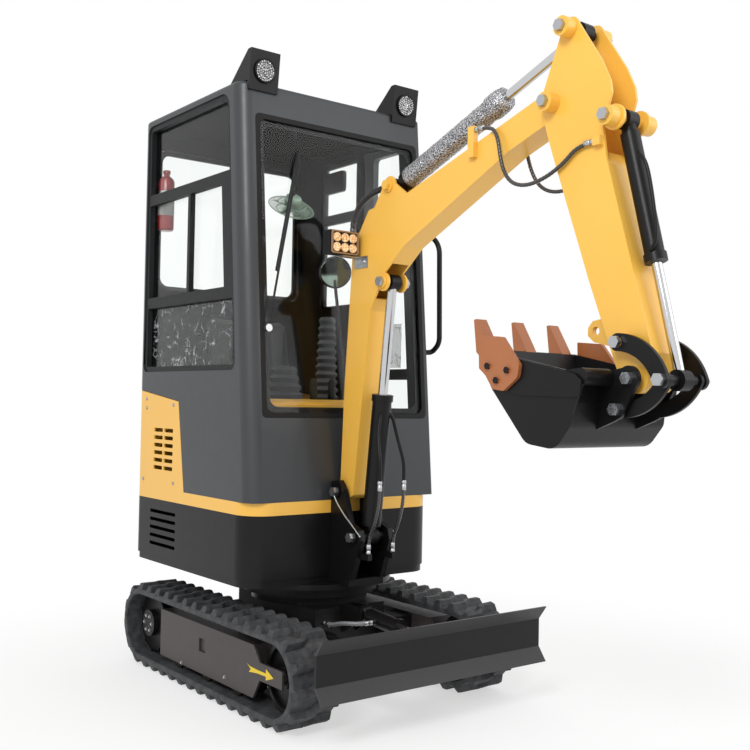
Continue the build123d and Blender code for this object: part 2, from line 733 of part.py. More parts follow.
# Turntable: round base, floor plate and nose
with BuildPart() as turntable:
    with BuildSketch(level(RING_TOP + RUNNING_GAP)):
        Circle(TURNTABLE_RADIUS)
    extrude(amount=TURNTABLE_BOTTOM - RING_TOP)
    extrude(house_plan(TURNTABLE_BOTTOM, SHEET), amount=SKIRT_BOTTOM - TURNTABLE_BOTTOM)
    box_between(
        (0, -BRACKET_INNER - BRACKET_PLATE, TURNTABLE_BOTTOM),
        (HOUSE_FRONT + 118, BRACKET_INNER + BRACKET_PLATE, SKIRT_BOTTOM),
    )
turntable.part.label = "turntable"
export_step(turntable.part, "parts/turntable.step")

# Boom bracket: two plates welded on the nose, which hold the boom's foot and its cylinder
with BuildPart() as bracket:
    for face in (BRACKET_INNER + BRACKET_PLATE, -BRACKET_INNER):
        with BuildSketch(side(face)):
            Polygon(
                (HOUSE_FRONT + 2, SKIRT_BOTTOM),
                (HOUSE_FRONT + 126, SKIRT_BOTTOM),
                (BOOM_CYL_BASE[0] + 40, BOOM_CYL_BASE[1] - 10),
                (BOOM_CYL_BASE[0] + 30, BOOM_CYL_BASE[1] + 26),
                (BOOM_CYL_BASE[0] - 20, BOOM_CYL_BASE[1] + 44),
                (BOOM_FOOT[0] + 36, BOOM_FOOT[1] + 10),
                (BOOM_FOOT[0] + 10, BOOM_FOOT[1] + 40),
                (HOUSE_FRONT + 2, BOOM_FOOT[1] + 34),
                align=None,
            )
        extrude(amount=BRACKET_PLATE)
    reach = BRACKET_INNER + BRACKET_PLATE
    for pin in (BOOM_FOOT, BOOM_CYL_BASE):
        cross_round(pin, PIN_RADIUS, -reach, reach)
        both_rounds(pin, BOSS_RADIUS - 4, reach, reach + 8)
        both_heads(pin, reach + 8)
    for y in (-LINE_Y, LINE_Y):
        box_between(
            (BRACKET_PORT[0] - 62, y - CLAMP_DEPTH / 2, BRACKET_PORT[1] - 20),
            (BRACKET_PORT[0] + 10, y + CLAMP_DEPTH / 2, BRACKET_PORT[1]),
        )
bracket.part.label = "boom_bracket"
export_step(bracket.part, "parts/boom_bracket.step")

# Black skirts round the house
with BuildPart() as skirts:
    extrude(house_plan(SKIRT_BOTTOM), amount=SKIRT_TOP - SKIRT_BOTTOM)
    extrude(
        house_plan(SKIRT_BOTTOM, SHEET), amount=SKIRT_TOP - SKIRT_BOTTOM, mode=Mode.SUBTRACT
    )
    for y in (-HOUSE_HALF - 1, HOUSE_HALF - SHEET - 1):
        with BuildSketch(side(y + SHEET + 2)) as louvres:
            with Locations(LOUVRE_CENTRE):
                with GridLocations(LOUVRE[0], LOUVRE_SPACING, 1, 5):
                    RectangleRounded(*LOUVRE, 5)
        extrude(louvres.sketch, amount=SHEET + 2, mode=Mode.SUBTRACT)
skirts.part.label = "skirts"
export_step(skirts.part, "parts/skirts.step")

# Counterweight inside the rear skirt
with BuildPart() as counterweight:
    box_between(
        (HOUSE_REAR + SHEET + SEAM, -HOUSE_HALF + REAR_CORNER, SKIRT_BOTTOM),
        (HOUSE_REAR + SHEET + WEIGHT_DEPTH, HOUSE_HALF - REAR_CORNER, SKIRT_TOP),
    )
counterweight.part.label = "counterweight"
export_step(counterweight.part, "parts/counterweight.step")

# Deck: yellow band with the cab floor, open over the engine
with BuildPart() as deck:
    extrude(house_plan(SKIRT_TOP), amount=DECK_TOP - SKIRT_TOP)
    extrude(
        house_plan(SKIRT_TOP, SHEET), amount=DECK_TOP - SKIRT_TOP - DECK_PLATE,
        mode=Mode.SUBTRACT,
    )
    box_between(
        (HOUSE_REAR + SHEET, -HOUSE_HALF + 40, SKIRT_TOP - 1),
        (ENGINE_REAR + ENGINE_LENGTH + ENGINE_GAP, HOUSE_HALF - 40, DECK_TOP + 1),
        Mode.SUBTRACT,
    )
deck.part.label = "deck"
export_step(deck.part, "parts/deck.step")

# Yellow side panels, wrapped round the rear corners up to the hood
with BuildPart() as side_panels:
    extrude(house_plan(DECK_TOP), amount=PANEL_REAR_Z - DECK_TOP)
    extrude(
        house_plan(DECK_TOP, SHEET), amount=PANEL_REAR_Z - DECK_TOP, mode=Mode.SUBTRACT
    )
    with BuildSketch(side(HOUSE_HALF + 1)) as kept:
        Polygon(
            (HOUSE_REAR - 1, DECK_TOP),
            (PANEL_FRONT_X - SEAM, DECK_TOP),
            (PANEL_STEP_X - SEAM, PANEL_FRONT_Z - SEAM),
            (HOUSE_REAR - 1, PANEL_REAR_Z - SEAM),
            align=None,
        )
    extrude(kept.sketch, amount=2 * HOUSE_HALF + 2, mode=Mode.INTERSECT)
    box_between(
        (HOUSE_REAR - 1, -HOOD_HALF - DOOR_GAP, DECK_TOP - 1),
        (HOUSE_REAR + REAR_CORNER, HOOD_HALF + DOOR_GAP, PANEL_REAR_Z),
        Mode.SUBTRACT,
    )
    for y in (-HOUSE_HALF - 1, HOUSE_HALF - SHEET - 1):
        with BuildSketch(side(y + SHEET + 2)) as vents:
            with Locations(VENT_CENTRE):
                with GridLocations(VENT_SPACING[0], VENT_SPACING[1], 2, 6):
                    RectangleRounded(*VENT, 4)
        extrude(vents.sketch, amount=SHEET + 2, mode=Mode.SUBTRACT)
side_panels.part.label = "side_panels"
export_step(side_panels.part, "parts/side_panels.step")

# Engine as one plain block behind and below the seat
with BuildPart() as engine:
    box_between(
        (ENGINE_REAR, -ENGINE_WIDTH / 2, SKIRT_BOTTOM),
        (ENGINE_REAR + ENGINE_LENGTH, ENGINE_WIDTH / 2, SKIRT_BOTTOM + ENGINE_HEIGHT),
    )
engine.part.label = "engine_block"
export_step(engine.part, "parts/engine_block.step")

# Cab: hollow shell with its windows and doorway cut
with BuildPart() as cab:
    with BuildSketch(side(HOUSE_HALF)):
        Polygon(
            (HOUSE_REAR, DECK_TOP),
            (HOUSE_FRONT, DECK_TOP),
            (rake_x(CAB_TOP), CAB_TOP),
            (HOUSE_REAR, CAB_TOP),
            align=None,
        )
    extrude(amount=2 * HOUSE_HALF)
    uprights = cab.edges().filter_by(lambda e: abs(e.center().Z - (DECK_TOP + CAB_TOP) / 2) < 1)
    front = uprights.group_by(Axis.X)[-1]
    fillet(front.sort_by(Axis.Y)[0], CAB_CORNER_RIGHT)
    fillet(front.sort_by(Axis.Y)[-1], CAB_CORNER_LEFT)
    rear = cab.edges().filter_by(Axis.Z).group_by(Axis.X)[0]
    fillet(rear, REAR_CORNER)
    fillet(cab.edges().group_by(Axis.Z)[-1], CAB_CORNER_LEFT - 1)
    with BuildSketch(side(HOUSE_HALF - CAB_WALL)):
        Polygon(
            (HOUSE_REAR + CAB_WALL, DECK_TOP),
            (HOUSE_FRONT - CAB_WALL, DECK_TOP),
            (rake_x(CAB_TOP) - CAB_WALL + 4, CAB_TOP - CAB_WALL),
            (HOUSE_REAR + CAB_WALL, CAB_TOP - CAB_WALL),
            align=None,
        )
    extrude(amount=2 * (HOUSE_HALF - CAB_WALL), mode=Mode.SUBTRACT)
    with BuildSketch(side(HOUSE_HALF + 1)):
        Polygon(
            (HOUSE_REAR - 1, DECK_TOP - 1),
            (PANEL_FRONT_X, DECK_TOP - 1),
            (PANEL_STEP_X, PANEL_FRONT_Z),
            (HOUSE_REAR - 1, PANEL_REAR_Z),
            align=None,
        )
    extrude(amount=2 * HOUSE_HALF + 2, mode=Mode.SUBTRACT)
    with BuildSketch(across(0)) as screen:
        with Locations(((SCREEN_LEFT + SCREEN_RIGHT) / 2, (SCREEN_TOP + SCREEN_BOTTOM) / 2)):
            RectangleRounded(SCREEN_LEFT - SCREEN_RIGHT, SCREEN_TOP - SCREEN_BOTTOM, SCREEN_RADIUS)
    extrude(amount=HOUSE_FRONT + 1, mode=Mode.SUBTRACT)
    with BuildSketch(across(HOUSE_REAR - 1)):
        with Locations((0, (REAR_WINDOW_TOP + REAR_WINDOW_BOTTOM) / 2)):
            RectangleRounded(
                2 * REAR_WINDOW_HALF, REAR_WINDOW_TOP - REAR_WINDOW_BOTTOM, PANE_RADIUS
            )
    extrude(amount=CAB_WALL + 2, mode=Mode.SUBTRACT)
    extrude(right_window(-HOUSE_HALF + CAB_WALL + 1), amount=CAB_WALL + 2, mode=Mode.SUBTRACT)
    with BuildSketch(side(HOUSE_HALF + 1)):
        Polygon(
            (DOOR_REAR_X, DOOR_BOTTOM),
            (rake_x(DOOR_BOTTOM) - DOOR_PILLAR, DOOR_BOTTOM),
            (rake_x(DOOR_TOP) - DOOR_PILLAR, DOOR_TOP),
            (DOOR_REAR_X, DOOR_TOP),
            align=None,
        )
    extrude(amount=CAB_WALL + 2, mode=Mode.SUBTRACT)
    extrude(quarter_window(HOUSE_HALF + 1), amount=CAB_WALL + 2, mode=Mode.SUBTRACT)
    hinge_y = HOUSE_HALF + HINGE_RADIUS + 1
    for z in (DOOR_BOTTOM + HINGE_INSET, DOOR_TOP - HINGE_INSET):
        low, high = z - HINGE_LENGTH / 2 - 1, z + HINGE_LENGTH / 2 + 1
        for foot in (low - HINGE_LUG, high):
            with BuildSketch(level(foot)) as lug_plan:
                with Locations((DOOR_REAR_X + DOOR_GAP, hinge_y)):
                    Circle(HINGE_RADIUS)
                with Locations((DOOR_REAR_X + DOOR_GAP - 20, HOUSE_HALF + 4)):
                    Rectangle(40, 8)
            extrude(lug_plan.sketch, amount=HINGE_LUG)
        with BuildSketch(level(low, DOOR_REAR_X + DOOR_GAP, hinge_y)) as hinge_pin:
            Circle(HINGE_RADIUS / 2)
        extrude(hinge_pin.sketch, amount=high - low)
    for y in (-HOOD_HINGE_OFFSET, HOOD_HINGE_OFFSET):
        for edge in (y - HINGE_LENGTH / 2 - 1 - HINGE_LUG, y + HINGE_LENGTH / 2 + 1):
            box_between(
                (HOUSE_REAR, edge, HOOD_PIN[1] - HOOD_SHEET / 2),
                (HOUSE_REAR + HOOD_SHEET, edge + HINGE_LUG, PANEL_REAR_Z + 4),
            )
        cross_round(HOOD_PIN, HOOD_PIN_RADIUS, y - HINGE_LENGTH / 2 - 2, y + HINGE_LENGTH / 2 + 2)
cab.part.label = "cab_shell"
export_step(cab.part, "parts/cab_shell.step")

# Black window frames: right side with its rails, and the left rear quarter with its catch plate
with BuildPart() as window_frames:
    extrude(right_window(RIGHT_FRAME_Y, RUNNING_GAP), amount=FRAME_BAR)
    extrude(right_window(RIGHT_FRAME_Y, FRAME_BAR), amount=FRAME_BAR, mode=Mode.SUBTRACT)
    with BuildSketch(side(RIGHT_FRAME_Y)) as bars:
        for z in (RAIL_Z, LOWER_RAIL_Z):
            start, end = WINDOW_REAR_X + FRAME_BAR / 2, rake_x(z) - WINDOW_FRONT - FRAME_BAR / 2
            with Locations(((start + end) / 2, z)):
                Rectangle(end - start, RAIL_HEIGHT)
        with Locations((MULLION_X, (RAIL_Z + LOWER_RAIL_Z) / 2)):
            Rectangle(FRAME_BAR, RAIL_Z - LOWER_RAIL_Z)
        Polygon(
            (rake_x(LOWER_RAIL_Z) - WINDOW_FRONT - FRONT_BAR, LOWER_RAIL_Z),
            (rake_x(LOWER_RAIL_Z) - WINDOW_FRONT - FRAME_BAR / 2, LOWER_RAIL_Z),
            (rake_x(RAIL_Z) - WINDOW_FRONT - FRAME_BAR / 2, RAIL_Z),
            (rake_x(RAIL_Z) - WINDOW_FRONT - FRONT_BAR, RAIL_Z),
            align=None,
        )
    extrude(bars.sketch, amount=FRAME_BAR)
    frame_depth = HOUSE_HALF - CAB_WALL / 4 - QUARTER_FRAME_Y
    extrude(quarter_window(QUARTER_FRAME_Y + frame_depth, RUNNING_GAP), amount=frame_depth)
    extrude(
        quarter_window(QUARTER_FRAME_Y + frame_depth, FRAME_BAR), amount=frame_depth,
        mode=Mode.SUBTRACT,
    )
    with BuildSketch(side(QUARTER_FRAME_Y + frame_depth)) as quarter_bars:
        start, end = QUARTER_REAR_X + FRAME_BAR / 2, DOOR_REAR_X - 40 - FRAME_BAR / 2
        with Locations(((start + end) / 2, RAIL_Z)):
            Rectangle(end - start, RAIL_HEIGHT)
        with Locations((start + 70, (RAIL_Z + QUARTER_TOP) / 2 + 40)):
            RectangleRounded(140, 90, 14)
    extrude(quarter_bars.sketch, amount=frame_depth)
window_frames.part.label = "window_frames"
export_step(window_frames.part, "parts/window_frames.step")

# Glass of the cab: windscreen, right side, quarter window and rear window
with BuildPart() as cab_glass:
    with BuildSketch(across(0)) as screen_pane:
        with Locations(((SCREEN_LEFT + SCREEN_RIGHT) / 2, (SCREEN_TOP + SCREEN_BOTTOM) / 2)):
            RectangleRounded(SCREEN_LEFT - SCREEN_RIGHT, SCREEN_TOP - SCREEN_BOTTOM, SCREEN_RADIUS)
    extrude(screen_pane.sketch, amount=HOUSE_FRONT)
    with BuildSketch(side(SCREEN_LEFT + 1)) as slope:
        Polygon(
            (rake_x(SCREEN_BOTTOM) - 8 - GLASS, SCREEN_BOTTOM),
            (rake_x(SCREEN_BOTTOM) - 8, SCREEN_BOTTOM),
            (rake_x(SCREEN_TOP) - 8, SCREEN_TOP),
            (rake_x(SCREEN_TOP) - 8 - GLASS, SCREEN_TOP),
            align=None,
        )
    extrude(slope.sketch, amount=SCREEN_LEFT - SCREEN_RIGHT + 2, mode=Mode.INTERSECT)
    extrude(right_window(RIGHT_FRAME_Y + GLASS, 2 * RUNNING_GAP), amount=GLASS)
    extrude(quarter_window(QUARTER_FRAME_Y, 2 * RUNNING_GAP), amount=GLASS)
    with BuildSketch(across(HOUSE_REAR + CAB_WALL / 2)) as rear_pane:
        with Locations((0, (REAR_WINDOW_TOP + REAR_WINDOW_BOTTOM) / 2)):
            RectangleRounded(
                2 * REAR_WINDOW_HALF, REAR_WINDOW_TOP - REAR_WINDOW_BOTTOM, PANE_RADIUS
            )
    extrude(rear_pane.sketch, amount=GLASS)
cab_glass.part.label = "cab_glass"
export_step(cab_glass.part, "parts/cab_glass.step")

# Door: one panel with its window cut, on the machine's left
door_outside = HOUSE_HALF
with BuildPart() as door:
    with BuildSketch(side(door_outside)):
        Polygon(
            (DOOR_REAR_X, DOOR_BOTTOM),
            (rake_x(DOOR_BOTTOM) - DOOR_PILLAR, DOOR_BOTTOM),
            (rake_x(DOOR_TOP) - DOOR_PILLAR, DOOR_TOP),
            (DOOR_REAR_X, DOOR_TOP),
            align=None,
        )
        offset(amount=-DOOR_GAP, kind=Kind.INTERSECTION)
    extrude(amount=DOOR_DEPTH)
    extrude(door_opening(door_outside), amount=DOOR_DEPTH, mode=Mode.SUBTRACT)
    with BuildSketch(side(door_outside)) as door_rail:
        start, end = DOOR_REAR_X + 55, rake_x(DOOR_RAIL_Z) - DOOR_PILLAR - DOOR_BAR + 5
        with Locations(((start + end) / 2, DOOR_RAIL_Z)):
            Rectangle(end - start, RAIL_HEIGHT)
    extrude(door_rail.sketch, amount=DOOR_DEPTH - GLASS)
    for z in (DOOR_BOTTOM + HINGE_INSET, DOOR_TOP - HINGE_INSET):
        with BuildSketch(level(z - HINGE_LENGTH / 2)) as leaf:
            with Locations((DOOR_REAR_X + DOOR_GAP, hinge_y)):
                Circle(HINGE_RADIUS)
            with Locations((DOOR_REAR_X + DOOR_GAP + 20, HOUSE_HALF + 4)):
                Rectangle(40, 8)
            with Locations((DOOR_REAR_X + DOOR_GAP, hinge_y)):
                Circle(HINGE_RADIUS / 2 + RUNNING_GAP, mode=Mode.SUBTRACT)
        extrude(leaf.sketch, amount=HINGE_LENGTH)
door.part.label = "door"
export_step(door.part, "parts/door.step")

# Glass of the door, in one sheet behind its rail
with BuildPart() as door_glass:
    extrude(door_opening(door_outside - DOOR_DEPTH + GLASS), amount=GLASS)
door_glass.part.label = "door_glass"
export_step(door_glass.part, "parts/door_glass.step")

# Rear hood, hung from its top edge
with BuildPart() as hood:
    box_between(
        (HOUSE_REAR, -HOOD_HALF, HOOD_BOTTOM),
        (HOUSE_REAR + HOOD_SHEET, HOOD_HALF, HOOD_TOP),
    )
    for y in (-HOOD_HINGE_OFFSET, HOOD_HINGE_OFFSET):
        low, high = y - HINGE_LENGTH / 2, y + HINGE_LENGTH / 2
        box_between((HOUSE_REAR, low, HOOD_TOP), (HOUSE_REAR + HOOD_SHEET, high, HOOD_PIN[1]))
        cross_round(HOOD_PIN, HOOD_SHEET / 2, low, high)
        cross_round(HOOD_PIN, HOOD_PIN_RADIUS + RUNNING_GAP, low - 1, high + 1, Mode.SUBTRACT)
        for edge in (low - HINGE_LUG - 6, high):
            box_between(
                (HOUSE_REAR - 1, edge, HOOD_PIN[1] - HOOD_SHEET / 2 - 5),
                (HOUSE_REAR + HOOD_SHEET + 1, edge + HINGE_LUG + 6, HOOD_TOP + 1),
                Mode.SUBTRACT,
            )
hood.part.label = "rear_hood"
export_step(hood.part, "parts/rear_hood.step")

# Cover over the engine inside the cab, which carries the seat
cover_front = ENGINE_REAR + ENGINE_LENGTH + ENGINE_GAP
cover_top = SKIRT_BOTTOM + ENGINE_HEIGHT + ENGINE_GAP
with BuildPart() as seat_base:
    box_between(
        (cover_front, -SEAT_HALF - 60, DECK_TOP), (cover_front + 4, SEAT_HALF + 60, cover_top)
    )
    box_between(
        (HOUSE_REAR + 60, -SEAT_HALF - 60, cover_top),
        (cover_front + 4, SEAT_HALF + 60, cover_top + 4),
    )
seat_base.part.label = "seat_base"
export_step(seat_base.part, "parts/seat_base.step")

# Seat: cushion and backrest
with BuildPart() as seat:
    box_between(
        (SEAT_REAR, -SEAT_HALF, cover_top + 4),
        (SEAT_REAR + SEAT_LENGTH, SEAT_HALF, cover_top + 4 + CUSHION_HEIGHT),
    )
    with BuildSketch(side(SEAT_HALF)):
        Polygon(
            (SEAT_REAR, cover_top + 4 + CUSHION_HEIGHT / 2),
            (SEAT_REAR + 90, cover_top + 4 + CUSHION_HEIGHT / 2),
            (SEAT_REAR + 10, cover_top + BACKREST_HEIGHT),
            (SEAT_REAR - 60, cover_top + BACKREST_HEIGHT),
            align=None,
        )
    extrude(amount=2 * SEAT_HALF)
    fillet(seat.edges().filter_by(Axis.Y), 20)
seat.part.label = "seat"
export_step(seat.part, "parts/seat.step")

# Control levers on two pedestals, with the travel levers in front
with BuildPart() as controls:
    for y in (-LEVER_OFFSET, LEVER_OFFSET):
        box_between((-190, y - 45, DECK_TOP), (-70, y + 45, LEVER_FOOT))
        with BuildSketch(level(LEVER_FOOT, x=-130, y=y)) as foot:
            Circle(38)
        extrude(foot.sketch, amount=70, taper=18)
        with BuildSketch(level(LEVER_FOOT, x=-130, y=y)) as stalk:
            Circle(9)
        extrude(stalk.sketch, amount=LEVER_HEIGHT)
        with Locations((SLEW_X - 130, y, LEVER_FOOT + LEVER_HEIGHT)):
            Sphere(22)
    for y in (-40, 40):
        with BuildSketch(level(DECK_TOP, x=60, y=y)) as stalk:
            Circle(9)
        extrude(stalk.sketch, amount=430)
controls.part.label = "controls"
export_step(controls.part, "parts/controls.step")

# Work lights over the roof's front edge, in wedge-shaped housings with round lenses
light_foot = CAB_TOP - ROOF_LIGHT_DROP
light_top = CAB_TOP + ROOF_LIGHT_HEIGHT
light_lean = 15
with BuildPart() as roof_lights:
    for y in (-ROOF_LIGHT_OFFSET, ROOF_LIGHT_OFFSET):
        front = rake_x(light_foot) + 8
        with BuildSketch(side(y + ROOF_LIGHT_WIDTH / 2)):
            Polygon(
                (ROOF_LIGHT_FOOT, CAB_TOP),
                (rake_x(CAB_TOP), CAB_TOP),
                (rake_x(light_foot), light_foot),
                (front, light_foot),
                (front + light_lean, light_top),
                (front + light_lean - 22, light_top),
                align=None,
            )
        extrude(amount=ROOF_LIGHT_WIDTH)
        lens_centre = (front + light_lean / 2 - 1, y, (light_foot + light_top) / 2)
        lens_drop = (LENS_DEPTH + 1) * light_lean / (light_top - light_foot)
        lens_tip = (lens_centre[0] + LENS_DEPTH + 1, y, lens_centre[2] - lens_drop)
        bar_between(lens_centre, lens_tip, LENS_RADIUS)
roof_lights.part.label = "roof_lights"
export_step(roof_lights.part, "parts/roof_lights.step")

# Wiper on the windscreen: pivot, arm and blade
def on_screen(y, z, off):
    """A point that far in front of the windscreen's glass."""
    slope = (HOUSE_FRONT - CAB_FRONT_TOP_X) / (CAB_RAKE_TOP - DECK_TOP)
    return (rake_x(z) - 8 + off, y, z + slope * off)


with BuildPart() as wiper:
    bar_between(on_screen(*WIPER_PIVOT, 0), on_screen(*WIPER_PIVOT, 26), 13)
    bar_between(on_screen(*WIPER_PIVOT, 20), on_screen(*WIPER_END, 14), 4)
    blade_y = [WIPER_PIVOT[0] + (WIPER_END[0] - WIPER_PIVOT[0])
               * (z - WIPER_PIVOT[1]) / (WIPER_END[1] - WIPER_PIVOT[1]) for z in WIPER_BLADE]
    bar_between(
        on_screen(blade_y[0], WIPER_BLADE[0], 9), on_screen(blade_y[1], WIPER_BLADE[1], 9), 8
    )
wiper.part.label = "wiper"
export_step(wiper.part, "parts/wiper.step")

# Grab rail beside the door, a bent tube with both ends on the front pillar
with BuildPart() as grab_rail:
    low_foot = (rake_x(1216) - 21, 1216)
    high_foot = (rake_x(1690) - 28, 1690)
    tube(
        [
            (low_foot[0], HOUSE_HALF, low_foot[1]),
            (low_foot[0], RAIL_Y, low_foot[1]),
            (low_foot[0] + 44, RAIL_Y, low_foot[1] + 34),
            (low_foot[0] + 35, RAIL_Y, high_foot[1] - 50),
            (high_foot[0], RAIL_Y, high_foot[1]),
            (high_foot[0], HOUSE_HALF, high_foot[1]),
        ],
        RAIL_RADIUS,
    )
grab_rail.part.label = "grab_rail"
export_step(grab_rail.part, "parts/grab_rail.step")

# Round mirror on a stem that stands on the sill behind the windscreen
with BuildPart() as mirror:
    stem_foot = (rake_x(SCREEN_BOTTOM) - 23, MIRROR_FOOT_Y, SCREEN_BOTTOM)
    stem_top = (rake_x(MIRROR_Z) - 80, MIRROR_FOOT_Y, MIRROR_Z - MIRROR_RADIUS / 2)
    with BuildSketch(level(stem_foot[2], stem_foot[0], stem_foot[1])) as foot:
        Circle(9)
    extrude(foot.sketch, amount=12)
    bar_between((stem_foot[0], MIRROR_FOOT_Y, SCREEN_BOTTOM + 6), stem_top, 6)
    disc_back = (stem_top[0] - 8, MIRROR_FOOT_Y + 6, MIRROR_Z)
    bar_between(disc_back, (disc_back[0] + 11, disc_back[1] - 6, MIRROR_Z), MIRROR_RADIUS)
mirror.part.label = "mirror"
export_step(mirror.part, "parts/mirror.step")

# Small fan hung from the roof behind the windscreen, blowing down and back
with BuildPart() as fan:
    fan_back = [c + FAN_DEPTH / 2 * d for c, d in zip(FAN_CENTRE, (0.6, -0.1, 0.79))]
    fan_front = [c - FAN_DEPTH / 2 * d for c, d in zip(FAN_CENTRE, (0.6, -0.1, 0.79))]
    bar_between(fan_front, fan_back, FAN_RADIUS)
    motor_end = [c + FAN_DEPTH * 1.2 * d for c, d in zip(FAN_CENTRE, (0.6, -0.1, 0.79))]
    bar_between(fan_back, motor_end, FAN_RADIUS / 3)
    bar_between(motor_end, (motor_end[0], motor_end[1], CAB_TOP - CAB_WALL), 5)
fan.part.label = "fan"
export_step(fan.part, "parts/fan.step")

# Fire extinguisher on the cab's rear wall, in its right corner
with BuildPart() as extinguisher:
    shoulder = BOTTLE_FOOT[2] + BOTTLE_HEIGHT
    with BuildSketch(level(BOTTLE_FOOT[2], *BOTTLE_FOOT[:2])) as bottle:
        Circle(BOTTLE_RADIUS)
    extrude(bottle.sketch, amount=BOTTLE_HEIGHT)
    with BuildSketch(level(shoulder, *BOTTLE_FOOT[:2])) as dome:
        Circle(BOTTLE_RADIUS)
    extrude(dome.sketch, amount=18, taper=45)
    with BuildSketch(level(shoulder + 17, *BOTTLE_FOOT[:2])) as valve:
        Circle(12)
    extrude(valve.sketch, amount=28)
    box_between(
        (HOUSE_REAR + CAB_WALL, BOTTLE_FOOT[1] - BOTTLE_RADIUS, BOTTLE_FOOT[2] + 40),
        (BOTTLE_FOOT[0] - BOTTLE_RADIUS + 8, BOTTLE_FOOT[1] + 4, BOTTLE_FOOT[2] + 150),
    )
extinguisher.part.label = "fire_extinguisher"
export_step(extinguisher.part, "parts/fire_extinguisher.step")

# Boom: box girder of two side plates, open where the cylinder eyes enter it
def boom_face(y, inset=0.0):
    """The boom's side outline at y, inset all round."""
    with BuildSketch(side(y)) as face:
        with BuildLine():
            FilletPolyline(
                (242, 690), (258, 1082), (276, 1330), (292, 1560), (380, 1682),
                (560, 1702), (1153, 1888), (1236, 1904), (1262, 1830), (1160, 1799),
                (1051, 1762), (575, 1538), (470, 1455), (397, 1333), (350, 940), (318, 690),
                close=True, radius=12,
            )
        make_face()
        if inset:
            offset(amount=-inset, kind=Kind.INTERSECTION)
    return face.sketch


with BuildPart() as boom:
    extrude(boom_face(BOOM_HALF), amount=2 * BOOM_HALF)
    extrude(
        boom_face(BOOM_HALF - BOOM_PLATE, BOOM_PLATE),
        amount=2 * (BOOM_HALF - BOOM_PLATE), mode=Mode.SUBTRACT,
    )
    for pin, radius in (
        (BOOM_FOOT, BOSS_RADIUS), (STICK_PIN, 42), (STICK_CYL_BASE, 32), (BOOM_CYL_ROD, 32),
    ):
        cross_round(pin, radius, -BOOM_HALF, BOOM_HALF)
    for face in (BOOM_HALF, BOOM_PLATE - BOOM_HALF):
        with BuildSketch(side(face)):
            Polygon((400, 1670), (458, 1752), (526, 1752), (600, 1700), align=None)
        extrude(amount=BOOM_PLATE)
    for pin, radius in ((BOOM_CYL_ROD, BOOM_POCKET), (STICK_CYL_BASE, 42)):
        reach = BOOM_HALF - BOOM_PLATE
        cross_round(pin, radius, -reach, reach, Mode.SUBTRACT)
    for pin in (BOOM_FOOT, STICK_PIN):
        cross_round(pin, PIN_RADIUS + PIN_GAP, -BOOM_HALF - 1, BOOM_HALF + 1, Mode.SUBTRACT)
    cross_round(STICK_CYL_BASE, PIN_RADIUS, -BOOM_HALF, BOOM_HALF)
    for pin in (BOOM_CYL_ROD, STICK_CYL_BASE):
        both_rounds(pin, BOSS_RADIUS - 4, BOOM_HALF, BOOM_HALF + 8)
        both_heads(pin, BOOM_HALF + 8)
    for sign in (1, -1):
        low, high = sorted((sign * BOOM_HALF, sign * (BOOM_HALF + CLAMP_DEPTH)))
        box_between((BOOM_PORT[0] - 26, low, BOOM_PORT[1] - 82), (BOOM_PORT[0], high, BOOM_PORT[1] + 12))
    rise = [end - start for start, end in zip(BOOM_HOSE_ROUTE[0], BOOM_HOSE_ROUTE[1])]
    sunk = [start - PORT_DEPTH * step / hypot(*rise) for start, step in zip(BOOM_HOSE_ROUTE[0], rise)]
    bar_between(sunk, BOOM_HOSE_ROUTE[0], BOOM_HOSE_RADIUS + 4)
boom.part.label = "boom"
export_step(boom.part, "parts/boom.step")

# Work light on the boom: a shallow box on a folded bracket
with BuildPart() as work_light:
    low, high = WORK_LIGHT_LOW, WORK_LIGHT_HIGH
    box_between(low, high)
    box_between((high[0], low[1] + 6, low[2] + 6), (high[0] + 4, high[1] - 6, high[2] - 6))
    box_between((low[0] + 12, (low[1] + high[1]) / 2, low[2] - 5), (high[0] - 6, -BOOM_HALF, low[2]))
    box_between((low[0] + 12, -BOOM_HALF - 4, low[2] - 40), (high[0] + 40, -BOOM_HALF, low[2]))
work_light.part.label = "work_light"
export_step(work_light.part, "parts/work_light.step")

# Hose sleeve behind the boom's elbow, from the boom's back to the stick cylinder's foot
with BuildPart() as boom_hose:
    print("boom_hose bend radii", tube(BOOM_HOSE_ROUTE, BOOM_HOSE_RADIUS))
boom_hose.part.label = "boom_hose"
export_step(boom_hose.part, "parts/boom_hose.step")

with BuildPart() as boom_barrel:
    round_barrel(BOOM_CYL_BASE, BOOM_CYL_ROD, 33, 492, 17)
    for sign in (1, -1):
        tube(
            [
                (LINE_FOOT[0], sign * LINE_Y, LINE_FOOT[1]),
                (LINE_FOOT[0], sign * LINE_Y, LINE_FOOT[1] + 60),
                (LINE_FOOT[0] - 28, sign * LINE_Y * 0.8, LINE_FOOT[1] + 150),
                (LINE_FOOT[0] - 36, sign * LINE_Y * 0.5, LINE_FOOT[1] + 220),
                (LINE_FOOT[0] - 70, 0, LINE_FOOT[1] + 250),
            ],
            LINE_RADIUS,
        )
    with BuildSketch(line_plane(BOOM_CYL_BASE, BOOM_CYL_ROD, BARREL_END)) as bore:
        Circle(17 + PIN_GAP)
    extrude(bore.sketch, amount=492, mode=Mode.SUBTRACT)
boom_barrel.part.label = "boom_cylinder_barrel"
export_step(boom_barrel.part, "parts/boom_cylinder_barrel.step")

with BuildPart() as boom_rod:
    round_rod(BOOM_CYL_BASE, BOOM_CYL_ROD, 17, 330, EYE_HALF + 6)
boom_rod.part.label = "boom_cylinder_rod"
export_step(boom_rod.part, "parts/boom_cylinder_rod.step")

